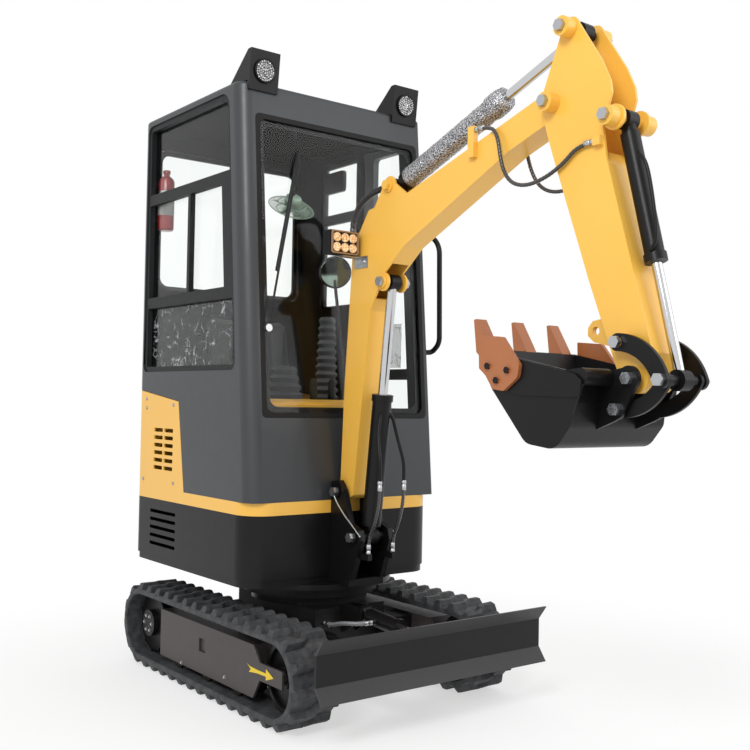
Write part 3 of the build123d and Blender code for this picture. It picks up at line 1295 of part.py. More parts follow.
# Two hoses from the hard lines down to the boom bracket
for hand, sign in (("left", 1), ("right", -1)):
    with BuildPart() as base_hose:
        y = sign * LINE_Y
        print(f"base_hose_{hand} bend radii", tube(
            [
                (LINE_FOOT[0], y, LINE_FOOT[1]), (LINE_FOOT[0], y, 703), (472, y, 650), (452, y, 600),
                (BRACKET_PORT[0], y, 556), (BRACKET_PORT[0], y, BRACKET_PORT[1]),
            ],
            HOSE_RADIUS,
        ))
    base_hose.part.label = f"base_hose_{hand}"
    export_step(base_hose.part, f"parts/base_hose_{hand}.step")

# Stick: two side plates round a box, spread at the top round the boom's end
with BuildPart() as stick:
    with BuildSketch(side(STICK_HALF)):
        with BuildLine():
            FilletPolyline(
                (1262, 2050), (1200, 1904), (1194, 1840), (1234, 1722), (1372, 1353),
                (1470, 1112), (1500, 1066), (1560, 1080), (1578, 1159), (1424, 1680),
                (1412, 1760), (1440, 1846), (1434, 1880), (1405, 1940), (1362, 2005),
                (1310, 2084), (1275, 2080),
                close=True, radius=8,
            )
        make_face()
        for pin, radius in (
            (STICK_CYL_ROD, 32), (STICK_PIN, 44), (BUCKET_CYL_BASE, 34), (BUCKET_PIN, 38),
        ):
            with Locations(pin):
                Circle(radius)
    extrude(amount=2 * STICK_HALF)
    with BuildSketch(side(STICK_HALF - STICK_PLATE)):
        Polygon(
            (1150, 2150), (1150, 1700), (1260, 1700), (1400, 1700), (1446, 1640), (1560, 1640),
            (1560, 2150), align=None,
        )
    extrude(amount=2 * (STICK_HALF - STICK_PLATE), mode=Mode.SUBTRACT)
    for pin in (STICK_PIN, BUCKET_CYL_BASE):
        cross_round(pin, PIN_RADIUS, -STICK_HALF, STICK_HALF)
    for pin in (STICK_PIN, BUCKET_CYL_BASE, STICK_CYL_ROD):
        both_rounds(pin, BOSS_RADIUS, STICK_HALF, BOSS_REACH)
        both_heads(pin, BOSS_REACH)
    cross_round(BUCKET_PIN, PIN_RADIUS + PIN_GAP, -STICK_HALF - 1, STICK_HALF + 1, Mode.SUBTRACT)
    both_rounds(ROCKER_PIN, BOSS_RADIUS - 4, STICK_HALF, EAR_INNER - 1)
    both_rounds(ROCKER_PIN, PIN_RADIUS, EAR_INNER - 1, EAR_INNER + EAR_PLATE + 3)
    both_heads(ROCKER_PIN, EAR_INNER + EAR_PLATE + 3)
    with BuildSketch(side(EYE_PLATE)) as eye:
        Polygon(
            (1448, 1172), (1352, 1194), (1330, 1212), (1331, 1234), (1347, 1252),
            (1378, 1256), (1425, 1244), align=None,
        )
        fillet(eye.vertices().group_by(Axis.X)[0], 8)
        with Locations(EYE_CENTRE):
            Circle(EYE_BORE, mode=Mode.SUBTRACT)
    extrude(eye.sketch, amount=2 * EYE_PLATE)
    for sign in (1, -1):
        low, high = sorted((sign * STICK_HALF, sign * (STICK_HALF + CLAMP_DEPTH)))
        box_between((STICK_PORT[0], low, STICK_PORT[1] - 12), (STICK_PORT[0] + 24, high, STICK_PORT[1] + 12))
stick.part.label = "stick"
export_step(stick.part, "parts/stick.step")

# Two hoses that hang in a loop beside the boom's end, from its clamps to the stick's
for hand, sign in (("left", 1), ("right", -1)):
    with BuildPart() as bucket_hose:
        print(f"bucket_hose_{hand} bend radii", tube(
            [(x, sign * y, z) for x, y, z in BUCKET_HOSE_ROUTE], HOSE_RADIUS
        ))
    bucket_hose.part.label = f"bucket_hose_{hand}"
    export_step(bucket_hose.part, f"parts/bucket_hose_{hand}.step")

with BuildPart() as stick_barrel:
    round_barrel(STICK_CYL_BASE, STICK_CYL_ROD, 31, 512, 15)
stick_barrel.part.label = "stick_cylinder_barrel"
export_step(stick_barrel.part, "parts/stick_cylinder_barrel.step")

with BuildPart() as stick_rod:
    round_rod(STICK_CYL_BASE, STICK_CYL_ROD, 15, 310, EYE_HALF + 20)
stick_rod.part.label = "stick_cylinder_rod"
export_step(stick_rod.part, "parts/stick_cylinder_rod.step")

with BuildPart() as bucket_barrel:
    round_barrel(BUCKET_CYL_BASE, COMMON_PIN, 26, 397, 14)
bucket_barrel.part.label = "bucket_cylinder_barrel"
export_step(bucket_barrel.part, "parts/bucket_cylinder_barrel.step")

with BuildPart() as bucket_rod:
    round_rod(BUCKET_CYL_BASE, COMMON_PIN, 14, 250, LINK_INNER - 6)
bucket_rod.part.label = "bucket_cylinder_rod"
export_step(bucket_rod.part, "parts/bucket_cylinder_rod.step")

# Rockers: a curved plate on each side from the stick to the common pin
with BuildPart() as rockers:
    for face in (EAR_INNER + EAR_PLATE, -EAR_INNER):
        with BuildSketch(side(face)) as rocker:
            with BuildLine() as middle_line:
                ThreePointArc(ROCKER_PIN, (1570, 1160), COMMON_PIN)
            SlotArc(middle_line.edge(), ROCKER_WIDTH)
        extrude(amount=EAR_PLATE)
    both_rounds(ROCKER_PIN, PIN_RADIUS + PIN_GAP, EAR_INNER - 1, EAR_INNER + EAR_PLATE + 1, Mode.SUBTRACT)
    both_rounds(COMMON_PIN, PIN_RADIUS, LINK_INNER, EAR_INNER)
    both_heads(COMMON_PIN, EAR_INNER + EAR_PLATE)
rockers.part.label = "rocker_links"
export_step(rockers.part, "parts/rocker_links.step")

# Bucket link: a plate on each side from the common pin to the bucket
with BuildPart() as link:
    for face in (LINK_INNER + LINK_PLATE, -LINK_INNER):
        with BuildSketch(side(face)):
            with BuildLine() as middle_line:
                ThreePointArc(LINK_PIN, (1565, 1030), COMMON_PIN)
            SlotArc(middle_line.edge(), LINK_WIDTH)
        extrude(amount=LINK_PLATE)
    both_rounds(COMMON_PIN, PIN_RADIUS + PIN_GAP, LINK_INNER - 1, LINK_INNER + LINK_PLATE + 1, Mode.SUBTRACT)
link.part.label = "bucket_link"
export_step(link.part, "parts/bucket_link.step")

# Bucket: wrapped shell between side plates, ears on its back, tubes from the ears to the sides
def bucket_face(y, inset=0.0):
    """The bucket's side outline at y, from its lip round the heel to its back edge."""
    lip_x, lip_z = BUCKET_LIP
    back_x, back_z = BUCKET_BACK
    with BuildSketch(side(y)) as face:
        with BuildLine():
            FilletPolyline(
                (lip_x + inset * 1.2, lip_z + inset), (1147 + inset, 1066 + inset / 2),
                (1278 + inset / 2, 920 + inset), (1382 - inset / 2, 908 + inset),
                (1434 - inset, 972 + inset / 2), (1440 - inset, 1030), (back_x - inset, back_z + inset),
                close=True, radius=[0.5, 40, 50, 50, 30, 20, 0.5],
            )
        make_face()
    return face.sketch


with BuildPart() as bucket:
    extrude(bucket_face(BUCKET_HALF), amount=2 * BUCKET_HALF)
    extrude(
        bucket_face(BUCKET_HALF - BUCKET_SIDE, BUCKET_SHELL),
        amount=2 * (BUCKET_HALF - BUCKET_SIDE), mode=Mode.SUBTRACT,
    )
    for face in (EAR_INNER + EAR_PLATE, -EAR_INNER):
        with BuildSketch(side(face)) as ear:
            Polygon(
                (1430, 1106), (BUCKET_PIN[0], BUCKET_PIN[1] + 30),
                (BUCKET_PIN[0] + 30, BUCKET_PIN[1] - 10),
                (LINK_PIN[0] + 22, LINK_PIN[1] - 12), (LINK_PIN[0], LINK_PIN[1] - 29),
                (1428, 962), align=None,
            )
            with Locations(BUCKET_PIN):
                Circle(32)
            with Locations(LINK_PIN):
                Circle(26)
        extrude(amount=EAR_PLATE)
    outer = EAR_INNER + EAR_PLATE
    both_rounds(BUCKET_TUBE, 22, outer, BUCKET_HALF)
    for face in (BUCKET_HALF, -BUCKET_HALF + BUCKET_SIDE):
        with BuildSketch(side(face)) as cheek:
            Polygon((1400, 1112), (1465, 1118), (1487, 1096), (1465, 1070), (1436, 1000), align=None)
        extrude(amount=BUCKET_SIDE)
    cross_round(BUCKET_PIN, PIN_RADIUS, -outer, outer)
    for pin in (BUCKET_PIN, LINK_PIN):
        both_heads(pin, outer)
    for face in (BUCKET_HALF + BAND_THICKNESS, -BUCKET_HALF):
        with BuildSketch(side(face)) as band:
            Polygon(
                BUCKET_LIP, (1450, 1103), (1472, 1086), (1467, 1048), (1451, 1044),
                (1261, 1047), (1153, 1070), align=None,
            )
        extrude(band.sketch, amount=BAND_THICKNESS)
bucket.part.label = "bucket"
export_step(bucket.part, "parts/bucket.step")

# Side cutters bolted on the bucket's side bands
with BuildPart() as cutters:
    for sign in (1, -1):
        inner = BUCKET_HALF + BAND_THICKNESS
        outer = inner + CUTTER_THICKNESS
        with BuildSketch(side(max(sign * inner, sign * outer))) as cutter:
            with BuildLine():
                FilletPolyline(
                    (1118, 1120), (1114, 1212), (1206, 1204), (1270, 1128), (1264, 1094),
                    (1213, 1058), (1172, 1063), (1143, 1101),
                    close=True, radius=[4, 4, 10, 12, 20, 14, 14, 10],
                )
            make_face()
        extrude(cutter.sketch, amount=CUTTER_THICKNESS)
        with BuildSketch(side(max(sign * outer, sign * (outer + 7)))) as bolts:
            with Locations((1154, 1126), (1228, 1114), (1188, 1087)):
                RegularPolygon(10, 6)
        extrude(bolts.sketch, amount=7)
cutters.part.label = "side_cutters"
export_step(cutters.part, "parts/side_cutters.step")

# Three teeth, each seated on the outside and the edge of the lip
lip_x, lip_z = BUCKET_LIP
with BuildPart() as teeth:
    for y in (-TOOTH_OFFSET, 0, TOOTH_OFFSET):
        with BuildSketch(side(y + TOOTH_WIDTH / 2)):
            Polygon(
                BUCKET_LIP,
                (lip_x + 0.9797 * TOOTH_SEAT, lip_z - 0.2007 * TOOTH_SEAT),
                (1104, 1194),
                (1062, 1262),
                (1052, 1260),
                (1064, 1168),
                (lip_x + 0.3453 * TOOTH_SHANK - 12, lip_z - 0.9385 * TOOTH_SHANK - 5),
                (lip_x + 0.3453 * TOOTH_SHANK, lip_z - 0.9385 * TOOTH_SHANK),
                align=None,
            )
        extrude(amount=TOOTH_WIDTH)
teeth.part.label = "bucket_teeth"
export_step(teeth.part, "parts/bucket_teeth.step")
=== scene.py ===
"""Looks of the mini excavator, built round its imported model. Metres, +X forward, +Y left, +Z up."""
import bpy
import bmesh
import random
from math import cos, pi, radians, sin
from mathutils import Matrix, Vector


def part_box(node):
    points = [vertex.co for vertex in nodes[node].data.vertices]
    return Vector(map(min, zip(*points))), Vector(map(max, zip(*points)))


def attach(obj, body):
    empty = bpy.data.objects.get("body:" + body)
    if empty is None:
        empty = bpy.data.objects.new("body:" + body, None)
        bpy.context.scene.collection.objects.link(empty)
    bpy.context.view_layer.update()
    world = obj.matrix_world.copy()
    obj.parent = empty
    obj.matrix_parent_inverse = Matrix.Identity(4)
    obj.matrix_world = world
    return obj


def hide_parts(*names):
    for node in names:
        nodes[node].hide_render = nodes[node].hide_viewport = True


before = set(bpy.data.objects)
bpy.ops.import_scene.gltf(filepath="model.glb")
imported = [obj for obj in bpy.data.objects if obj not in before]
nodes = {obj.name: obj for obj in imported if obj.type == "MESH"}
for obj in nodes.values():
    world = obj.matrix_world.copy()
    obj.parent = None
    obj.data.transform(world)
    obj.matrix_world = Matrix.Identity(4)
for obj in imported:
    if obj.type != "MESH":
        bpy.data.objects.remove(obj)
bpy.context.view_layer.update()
scene = bpy.context.scene
# The slewing axis stands here, and places along the machine are counted from it
SLEW = -0.4915

# Camera where the photograph was taken from: about 3.4 m from the machine's middle and 1 m up,
# a little rolled
CAMERA_AT = Vector((SLEW + 3.145, -2.138, 1.028))
LENS, SHIFT_ACROSS, SHIFT_UP = 48.46, 0.0007, -0.0019
yaw, pitch, roll = radians(142.34), radians(1.49), radians(1.05)
ahead = Vector((cos(pitch) * cos(yaw), cos(pitch) * sin(yaw), sin(pitch)))
right = ahead.cross(Vector((0, 0, 1))).normalized()
up = right.cross(ahead)
right, up = cos(roll) * right + sin(roll) * up, cos(roll) * up - sin(roll) * right
camera = bpy.data.objects.new("camera", bpy.data.cameras.new("camera"))
camera.matrix_world = Matrix((
    (right.x, up.x, -ahead.x, CAMERA_AT.x),
    (right.y, up.y, -ahead.y, CAMERA_AT.y),
    (right.z, up.z, -ahead.z, CAMERA_AT.z),
    (0, 0, 0, 1),
))
camera.data.lens = LENS
camera.data.shift_x = SHIFT_ACROSS
camera.data.shift_y = SHIFT_UP
scene.collection.objects.link(camera)
scene.camera = camera

# Soft studio light: a bright room that is plain white to the eye, a large key panel from the
# front left of the picture and a weaker one from its right
ROOM_LIGHT, ROOM_SEEN = 0.72, 1.0
LIT_MIDDLE = Vector((-0.2, 0, 1))


def feed(tree, node, inputs):
    """Inputs of a node, set to values or linked to sockets."""
    for socket, value in inputs.items():
        if isinstance(value, bpy.types.NodeSocket):
            tree.links.new(value, node.inputs[socket])
        else:
            node.inputs[socket].default_value = value


def add(tree, kind, inputs=(), **settings):
    """A node with these settings and inputs."""
    made = tree.nodes.new(kind)
    for name, value in settings.items():
        setattr(made, name, value)
    feed(tree, made, dict(inputs))
    return made


scene.view_settings.view_transform = "Standard"
world = bpy.data.worlds.new("studio")
world.use_nodes = True
tree = world.node_tree
ray = add(tree, "ShaderNodeLightPath")
seen = ray.outputs["Is Camera Ray"]
for kind in ("Is Transmission Ray", "Is Glossy Ray"):
    seen = add(tree, "ShaderNodeMath", {0: seen, 1: ray.outputs[kind]}, operation="MAXIMUM").outputs[0]
level = add(tree, "ShaderNodeMapRange", {"Value": seen, "To Min": ROOM_LIGHT, "To Max": ROOM_SEEN})
feed(tree, tree.nodes["Background"], {"Color": (1, 1, 1, 1), "Strength": level.outputs["Result"]})
scene.world = world
for name, place, size, power in (
    ("key", (2.2, -3.4, 3.6), 1.6, 108),
    ("fill", (3.2, 1.6, 2.6), 2.5, 36),
):
    lamp = bpy.data.lights.new(name, "AREA")
    lamp.energy = power
    lamp.size = size
    holder = bpy.data.objects.new(name, lamp)
    holder.location = place
    holder.rotation_euler = (LIT_MIDDLE - Vector(place)).to_track_quat("-Z", "Y").to_euler()
    scene.collection.objects.link(holder)

# Floor: a plain white studio sheet, matt. Away from the machine it turns into the white of the
# room, so no edge shows, and near it it keeps a soft shadow
FLOOR_HALF, FLOOR_DROP = 40, 0.0005
FADE_START, FADE_END = 0.9, 2.4


def colour(code):
    """Linear colour of an sRGB hex code."""
    parts = [int(code[i:i + 2], 16) / 255 for i in (1, 3, 5)]
    return [p / 12.92 if p <= 0.04045 else ((p + 0.055) / 1.055) ** 2.4 for p in parts] + [1]


def new_finish(name):
    """A new material, its node tree, its shader and the socket of its Object coordinates."""
    made = bpy.data.materials.new(name)
    made.use_nodes = True
    tree = made.node_tree
    return made, tree, tree.nodes["Principled BSDF"], add(tree, "ShaderNodeTexCoord").outputs["Object"]


floor_paint, tree, shader, place = new_finish("pale_floor")
away = add(tree, "ShaderNodeVectorMath", {0: place}, operation="LENGTH")
fade = add(
    tree, "ShaderNodeMapRange",
    {"Value": away.outputs["Value"], "From Min": FADE_START, "From Max": FADE_END, "To Min": 0.55},
    interpolation_type="SMOOTHSTEP",
)
feed(tree, shader, {"Base Color": colour("#fbfbfb"), "Roughness": 0.8})
white = add(tree, "ShaderNodeEmission", {"Color": (1, 1, 1, 1), "Strength": 1.0})
blended = add(
    tree, "ShaderNodeMixShader",
    {0: fade.outputs["Result"], 1: shader.outputs["BSDF"], 2: white.outputs["Emission"]},
)
feed(tree, tree.nodes["Material Output"], {"Surface": blended.outputs["Shader"]})
mesh = bpy.data.meshes.new("floor")
corners = [(FLOOR_HALF * x, FLOOR_HALF * y, 0) for x, y in ((-1, -1), (1, -1), (1, 1), (-1, 1))]
mesh.from_pydata(corners, [], [(0, 1, 2, 3)])
floor = bpy.data.objects.new("floor", mesh)
floor.location.z = -FLOOR_DROP
mesh.materials.append(floor_paint)
scene.collection.objects.link(floor)

# Cab: sheet steel shell, rolled and welded, under satin slate powder coat. Its walls are black
# inside, where foam lining is glued to them
CAB_HALF, CAB_SKIN, LINING_HALF, LINING_FOOT, CORNER_ROOM = 0.404, 0.012, 0.390, 0.70, 0.046
SCREEN_FOOT, SCREEN_HEAD = (0.232, 0.673), (0.116, 2.050)
RAKE = (SCREEN_FOOT[0] - SCREEN_HEAD[0]) / (SCREEN_HEAD[1] - SCREEN_FOOT[1])
DUST, DUST_TOP, DUST_FULL = "#8f8a84", 0.7, 0.05


def coat(name, base, shade, rough, gloss=0.0, peel=0.05, dust=0.0, shine=0.5):
    """A sprayed coat: colour that drifts over 250 mm, the 2.4 mm ripple of the spray, and dust in
    patches of 33 mm on what stands low."""
    made, tree, shader, place = new_finish(name)
    drift = add(tree, "ShaderNodeTexNoise", {"Vector": place, "Scale": 4, "Detail": 4})
    tone = add(
        tree, "ShaderNodeMix", {0: drift.outputs["Fac"], 6: colour(base), 7: colour(shade)},
        data_type="RGBA",
    )
    height = add(tree, "ShaderNodeSeparateXYZ", {"Vector": place})
    low = add(
        tree, "ShaderNodeMapRange",
        {"Value": height.outputs["Z"], "From Min": DUST_TOP, "From Max": DUST_FULL, "To Max": dust},
    )
    spots = add(
        tree, "ShaderNodeTexNoise", {"Vector": place, "Scale": 30, "Detail": 6, "Roughness": 0.7}
    )
    amount = add(
        tree, "ShaderNodeMath", {0: low.outputs["Result"], 1: spots.outputs["Fac"]},
        operation="MULTIPLY",
    )
    dusty = add(
        tree, "ShaderNodeMix", {0: amount.outputs["Value"], 6: tone.outputs[2], 7: colour(DUST)},
        data_type="RGBA",
    )
    dull = add(
        tree, "ShaderNodeMapRange",
        {"Value": spots.outputs["Fac"], "To Min": rough - 0.06, "To Max": rough + 0.1},
    )
    ripple = add(tree, "ShaderNodeTexNoise", {"Vector": place, "Scale": 420, "Detail": 2})
    bump = add(
        tree, "ShaderNodeBump",
        {"Height": ripple.outputs["Fac"], "Strength": peel, "Distance": 0.0006},
    )
    feed(tree, shader, {
        "Base Color": dusty.outputs[2], "Roughness": dull.outputs["Result"],
        "Normal": bump.outputs["Normal"], "Coat Weight": gloss, "Coat Roughness": 0.08,
        "Specular IOR Level": shine,
    })
    return made


def dress(node, *materials):
    """These materials take the place of a CAD node's own."""
    nodes[node].data.materials.clear()
    for material in materials:
        nodes[node].data.materials.append(material)


def part_of(node, slot, test):
    """Faces of a CAD node take its material of that slot where the test of their middle holds."""
    for face in nodes[node].data.polygons:
        if test(face.center):
            face.material_index = slot


def rake_x(z):
    """Where the raked front of the cab stands at height z."""
    return SCREEN_FOOT[0] - RAKE * (z - SCREEN_FOOT[1])


slate = coat("slate_powder_coat", "#303336", "#292c2f", 0.42, gloss=0.1, peel=0.12)
lining = coat("black_foam_lining", "#101011", "#0b0b0c", 0.9, peel=0.5, shine=0.1)
dress("cab_shell", slate, lining)
dress("door", slate, lining)
cab_low, cab_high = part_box("cab_shell")
part_of("cab_shell", 1, lambda c: (
    cab_low.x + CAB_SKIN < c.x < SLEW + rake_x(c.z) - CAB_SKIN and abs(c.y) < LINING_HALF
    and LINING_FOOT < c.z < cab_high.z - CAB_SKIN
    and SLEW + rake_x(c.z) - c.x + CAB_HALF - abs(c.y) > CORNER_ROOM
))

# Yellow steelwork: boom, stick, deck band, side panels, hood and seat base, welded plate in gloss
# enamel. It reads as warm and even, with a soft sheen
yellow = coat("yellow_gloss_enamel", "#edb950", "#e8b041", 0.34, gloss=0.2)
for node in ("deck", "side_panels", "rear_hood", "seat_base"):
    dress(node, yellow)

# Black steelwork: skirts, turntable, bracket, carbody and cylinders, in gloss enamel over
# pressed and welded steel. It reads as near black with a soft sheen
black = coat("black_gloss_enamel", "#100f10", "#0a090a", 0.38, gloss=0.06, dust=0.03, shine=0.2)
plastic = coat("black_moulded_plastic", "#161719", "#101113", 0.5, peel=0.25, shine=0.3)
for node in ("carbody", "slew_ring", "skirts", "counterweight", "turntable", "bucket_link"):
    dress(node, black)
dress("window_frames", plastic)
iron = coat("grey_cast_iron", "#3d3f42", "#2f3134", 0.6, peel=0.5, dust=0.4)
dress("engine_block", iron)

# Pin heads, of zinc plated steel like the bolts and hose fittings: cool grey with a fine spangle.
# They stand past the sides of the part that holds the pin
BUCKET_PINS, HEAD_REACH = ((1.528, 1.094), (1.490, 1.015)), 0.018
zinc, tree, shader, place = new_finish("zinc_plated_steel")
spangle = add(tree, "ShaderNodeTexVoronoi", {"Vector": place, "Scale": 180})
rough = add(
    tree, "ShaderNodeMapRange", {"Value": spangle.outputs["Distance"], "To Min": 0.22, "To Max": 0.45}
)
feed(tree, shader, {
    "Roughness": rough.outputs["Result"], "Base Color": colour("#b4b6b9"), "Metallic": 1,
})
for node, paint, side, where in (
    ("stick", yellow, 0.0925, lambda c: True),
    ("boom", yellow, 0.0505, lambda c: abs(c.z - 1.81) > 0.085),
    ("boom_bracket", black, 0.0825, lambda c: c.x > SLEW + 0.24 and c.z > 0.5),
    ("rocker_links", black, 0.0865, lambda c: True),
    ("bucket", black, 0.0865, lambda c: any(
        (c.x - SLEW - x) ** 2 + (c.z - z) ** 2 < HEAD_REACH ** 2 for x, z in BUCKET_PINS
    )),
):
    dress(node, paint, zinc)
    part_of(node, 1, lambda c: abs(c.y) > side and where(c))

# Tracks: steel-corded rubber belts, moulded in one endless loop. Bar lugs alternate from edge to
# edge, and each ends in a hook past the middle
LINKS, LINK_PITCH, PITCH_RADIUS, TRACK_MID = 37, 0.072, 0.1248, 0.375
BELT_OVER, LUG_HEIGHT, LUG_BEDDED, STEPS_PER_LINK = 0.009, 0.021, 0.002, 4
LUG_GAP = 0.0002
AXLES = (LINKS * LINK_PITCH - 2 * pi * PITCH_RADIUS) / 2
AXLE_Z = PITCH_RADIUS + BELT_OVER + LUG_HEIGHT


def place_piece(name, mesh, body, *materials):
    """A new piece from a mesh in the machine's own frame, riding on a body."""
    for material in materials:
        mesh.materials.append(material)
    made = bpy.data.objects.new(name, mesh)
    scene.collection.objects.link(made)
    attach(made, body)
    return made


def repeat_tree():
    """Sets copies of a shape on a mesh's points, turned to the points' aim and along vectors."""
    tree = bpy.data.node_groups.new("set_copies", "GeometryNodeTree")
    sockets = {}
    for label, kind in (
        ("Geometry", "NodeSocketGeometry"), ("Shape", "NodeSocketObject"),
        ("Size", "NodeSocketFloat"), ("Finish", "NodeSocketMaterial"),
    ):
        sockets[label] = tree.interface.new_socket(label, in_out="INPUT", socket_type=kind).identifier
    tree.interface.new_socket("Geometry", in_out="OUTPUT", socket_type="NodeSocketGeometry")
    given = add(tree, "NodeGroupInput")
    shape = add(tree, "GeometryNodeObjectInfo", {"Object": given.outputs["Shape"], "As Instance": True})
    turned = None
    for attribute, axis, pivot in (("aim", "Z", "AUTO"), ("along", "X", "Z")):
        way = add(
            tree, "GeometryNodeInputNamedAttribute", {"Name": attribute}, data_type="FLOAT_VECTOR"
        )
        inputs = {"Vector": way.outputs["Attribute"]}
        if turned:
            inputs["Rotation"] = turned.outputs["Rotation"]
        turned = add(
            tree, "FunctionNodeAlignRotationToVector", inputs, axis=axis, pivot_axis=pivot
        )
    copies = add(
        tree, "GeometryNodeInstanceOnPoints",
        {
            "Points": given.outputs["Geometry"], "Instance": shape.outputs["Geometry"],
            "Rotation": turned.outputs["Rotation"], "Scale": given.outputs["Size"],
        },
    )
    real = add(tree, "GeometryNodeRealizeInstances", {"Geometry": copies.outputs["Instances"]})
    done = add(
        tree, "GeometryNodeSetMaterial",
        {"Geometry": real.outputs["Geometry"], "Material": given.outputs["Finish"]},
    )
    add(tree, "NodeGroupOutput", {"Geometry": done.outputs["Geometry"]})
    return tree, sockets


copy_tree, copy_sockets = repeat_tree()


def plain_mesh(holder):
    """The mesh that an object's curve or modifiers come to."""
    graph = bpy.context.evaluated_depsgraph_get()
    return bpy.data.meshes.new_from_object(holder.evaluated_get(graph))


def set_copies(name, shape, spots, finish, body, size=1.0):
    """One piece of many copies of a shape. Each spot is a point, the way it faces and the way it lies."""
    pattern = bpy.data.objects.new(name + "_pattern", shape)
    scene.collection.objects.link(pattern)
    points = bpy.data.meshes.new(name + "_spots")
    points.from_pydata([spot[0] for spot in spots], [], [])
    for column, label in ((1, "aim"), (2, "along")):
        values = points.attributes.new(label, "FLOAT_VECTOR", "POINT")
        for item, spot in zip(values.data, spots):
            item.vector = spot[column]
    holder = bpy.data.objects.new(name + "_spots", points)
    scene.collection.objects.link(holder)
    setter = holder.modifiers.new("copies", "NODES")
    setter.node_group = copy_tree
    setter[copy_sockets["Shape"]] = pattern
    setter[copy_sockets["Size"]] = size
    setter[copy_sockets["Finish"]] = finish
    bpy.context.view_layer.update()
    mesh = plain_mesh(holder)
    mesh.name = name
    holder.modifiers.clear()
    bpy.data.objects.remove(holder)
    bpy.data.objects.remove(pattern)
    return place_piece(name, mesh, body, *(() if mesh.materials else (finish,)))


def track_point(run):
    """Place, outward way and forward way on the belt's pitch line at that run from its top rear."""
    run %= LINKS * LINK_PITCH
    arc = pi * PITCH_RADIUS
    if run < AXLES:
        turn, x = 0.0, run - AXLES / 2
    elif run < AXLES + arc:
        turn, x = (run - AXLES) / PITCH_RADIUS, AXLES / 2
    elif run < 2 * AXLES + arc:
        turn, x = pi, AXLES / 2 - (run - AXLES - arc)
    else:
        turn, x = pi + (run - 2 * AXLES - arc) / PITCH_RADIUS, -AXLES / 2
    out = Vector((sin(turn), 0, cos(turn)))
    return Vector((SLEW + x, 0, AXLE_Z)) + PITCH_RADIUS * out, out, Vector((cos(turn), 0, -sin(turn)))


def join_loops(shape, first, second):
    """Four-sided faces between two closed loops of as many points."""
    for k in range(len(first)):
        nxt = (k + 1) % len(first)
        shape.faces.new((first[k], first[nxt], second[nxt], second[k]))


def round_edges(shape, size, segments=2, **how):
    """A closed shape's faces turned outwards and all its edges rounded."""
    bmesh.ops.recalc_face_normals(shape, faces=shape.faces)
    bmesh.ops.bevel(
        shape, geom=shape.edges[:], offset=size, segments=segments, affect="EDGES", **how
    )


def shape_mesh(name, shape, turn_out=True):
    """A mesh of a shape, the faces of a closed one turned outwards first."""
    if turn_out:
        bmesh.ops.recalc_face_normals(shape, faces=shape.faces)
    mesh = bpy.data.meshes.new(name)
    shape.to_mesh(mesh)
    return mesh


rubber, tree, shader, place = new_finish("moulded_track_rubber")
wear = add(tree, "ShaderNodeTexNoise", {"Vector": place, "Scale": 35, "Detail": 8})
tone = add(tree, "ShaderNodeValToRGB", {"Fac": wear.outputs["Fac"]})
for stop, at, code in zip(tone.color_ramp.elements, (0.35, 0.75), ("#2d2e30", "#4b4c4e")):
    stop.position, stop.color = at, colour(code)
grain = add(tree, "ShaderNodeTexNoise", {"Vector": place, "Scale": 500, "Detail": 3})
bump = add(
    tree, "ShaderNodeBump", {"Height": grain.outputs["Fac"], "Strength": 0.25, "Distance": 0.0008}
)
feed(tree, shader, {
    "Base Color": tone.outputs["Color"], "Normal": bump.outputs["Normal"], "Roughness": 0.62,
    "Specular IOR Level": 0.35,
})
belt_section = (
    (-0.090, -0.007), (-0.090, 0.005), (-0.086, BELT_OVER), (0.086, BELT_OVER), (0.090, 0.005),
    (0.090, -0.007), (0.086, -0.011), (0.034, -0.011), (0.030, -0.008), (-0.030, -0.008),
    (-0.034, -0.011), (-0.086, -0.011),
)
lug_foot = (
    (-0.020, 0.089), (0.021, 0.089), (0.020, 0.030), (0.032, -0.004), (0.010, -0.012), (-0.012, 0.012),
)
lug_crest = (
    (-0.010, 0.080), (0.012, 0.080), (0.010, 0.028), (0.021, 0.000), (0.010, -0.003), (-0.004, 0.016),
)
for hand, sign in (("left", 1), ("right", -1)):
    middle = Vector((0, sign * TRACK_MID, 0))
    shape = bmesh.new()
    rings = []
    for step in range(STEPS_PER_LINK * LINKS):
        spot, out, _ = track_point(step * LINK_PITCH / STEPS_PER_LINK)
        rings.append([
            shape.verts.new(spot + middle + out * h + Vector((0, w, 0))) for w, h in belt_section
        ])
    for ring, after in zip(rings, rings[1:] + rings[:1]):
        join_loops(shape, ring, after)
    mesh = shape_mesh(f"track_belt_{hand}", shape)
    belt = place_piece(f"track_belt_{hand}", mesh, "undercarriage", rubber)
    lug = bmesh.new()
    foot = [lug.verts.new((u, v, BELT_OVER - LUG_BEDDED)) for u, v in lug_foot]
    crest = [lug.verts.new((u, v, BELT_OVER + LUG_HEIGHT - LUG_GAP)) for u, v in lug_crest]
    lug.faces.new(crest)
    lug.faces.new(foot)
    join_loops(lug, foot, crest)
    round_edges(lug, 0.0025, profile=0.6)
    spots = []
    for step in range(2 * LINKS):
        spot, out, along = track_point(step * LINK_PITCH / 2)
        spots.append((spot + middle, out, along if step % 2 else -along))
    lugs = set_copies(
        f"track_lugs_{hand}", shape_mesh("lug", lug, turn_out=False), spots, rubber, "undercarriage"
    )
    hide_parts(f"track_{hand}")

# Track frames and wheels: folded plate in brown-black primer, with cast sprockets, idlers and
# rollers in black enamel
primer = coat("brown_black_primer", "#342c2f", "#2c2527", 0.42, dust=0.2, shine=0.35)
dress("track_frames", primer)
for node in ("drive_sprockets", "front_idlers", "bottom_rollers"):
    dress(node, black)

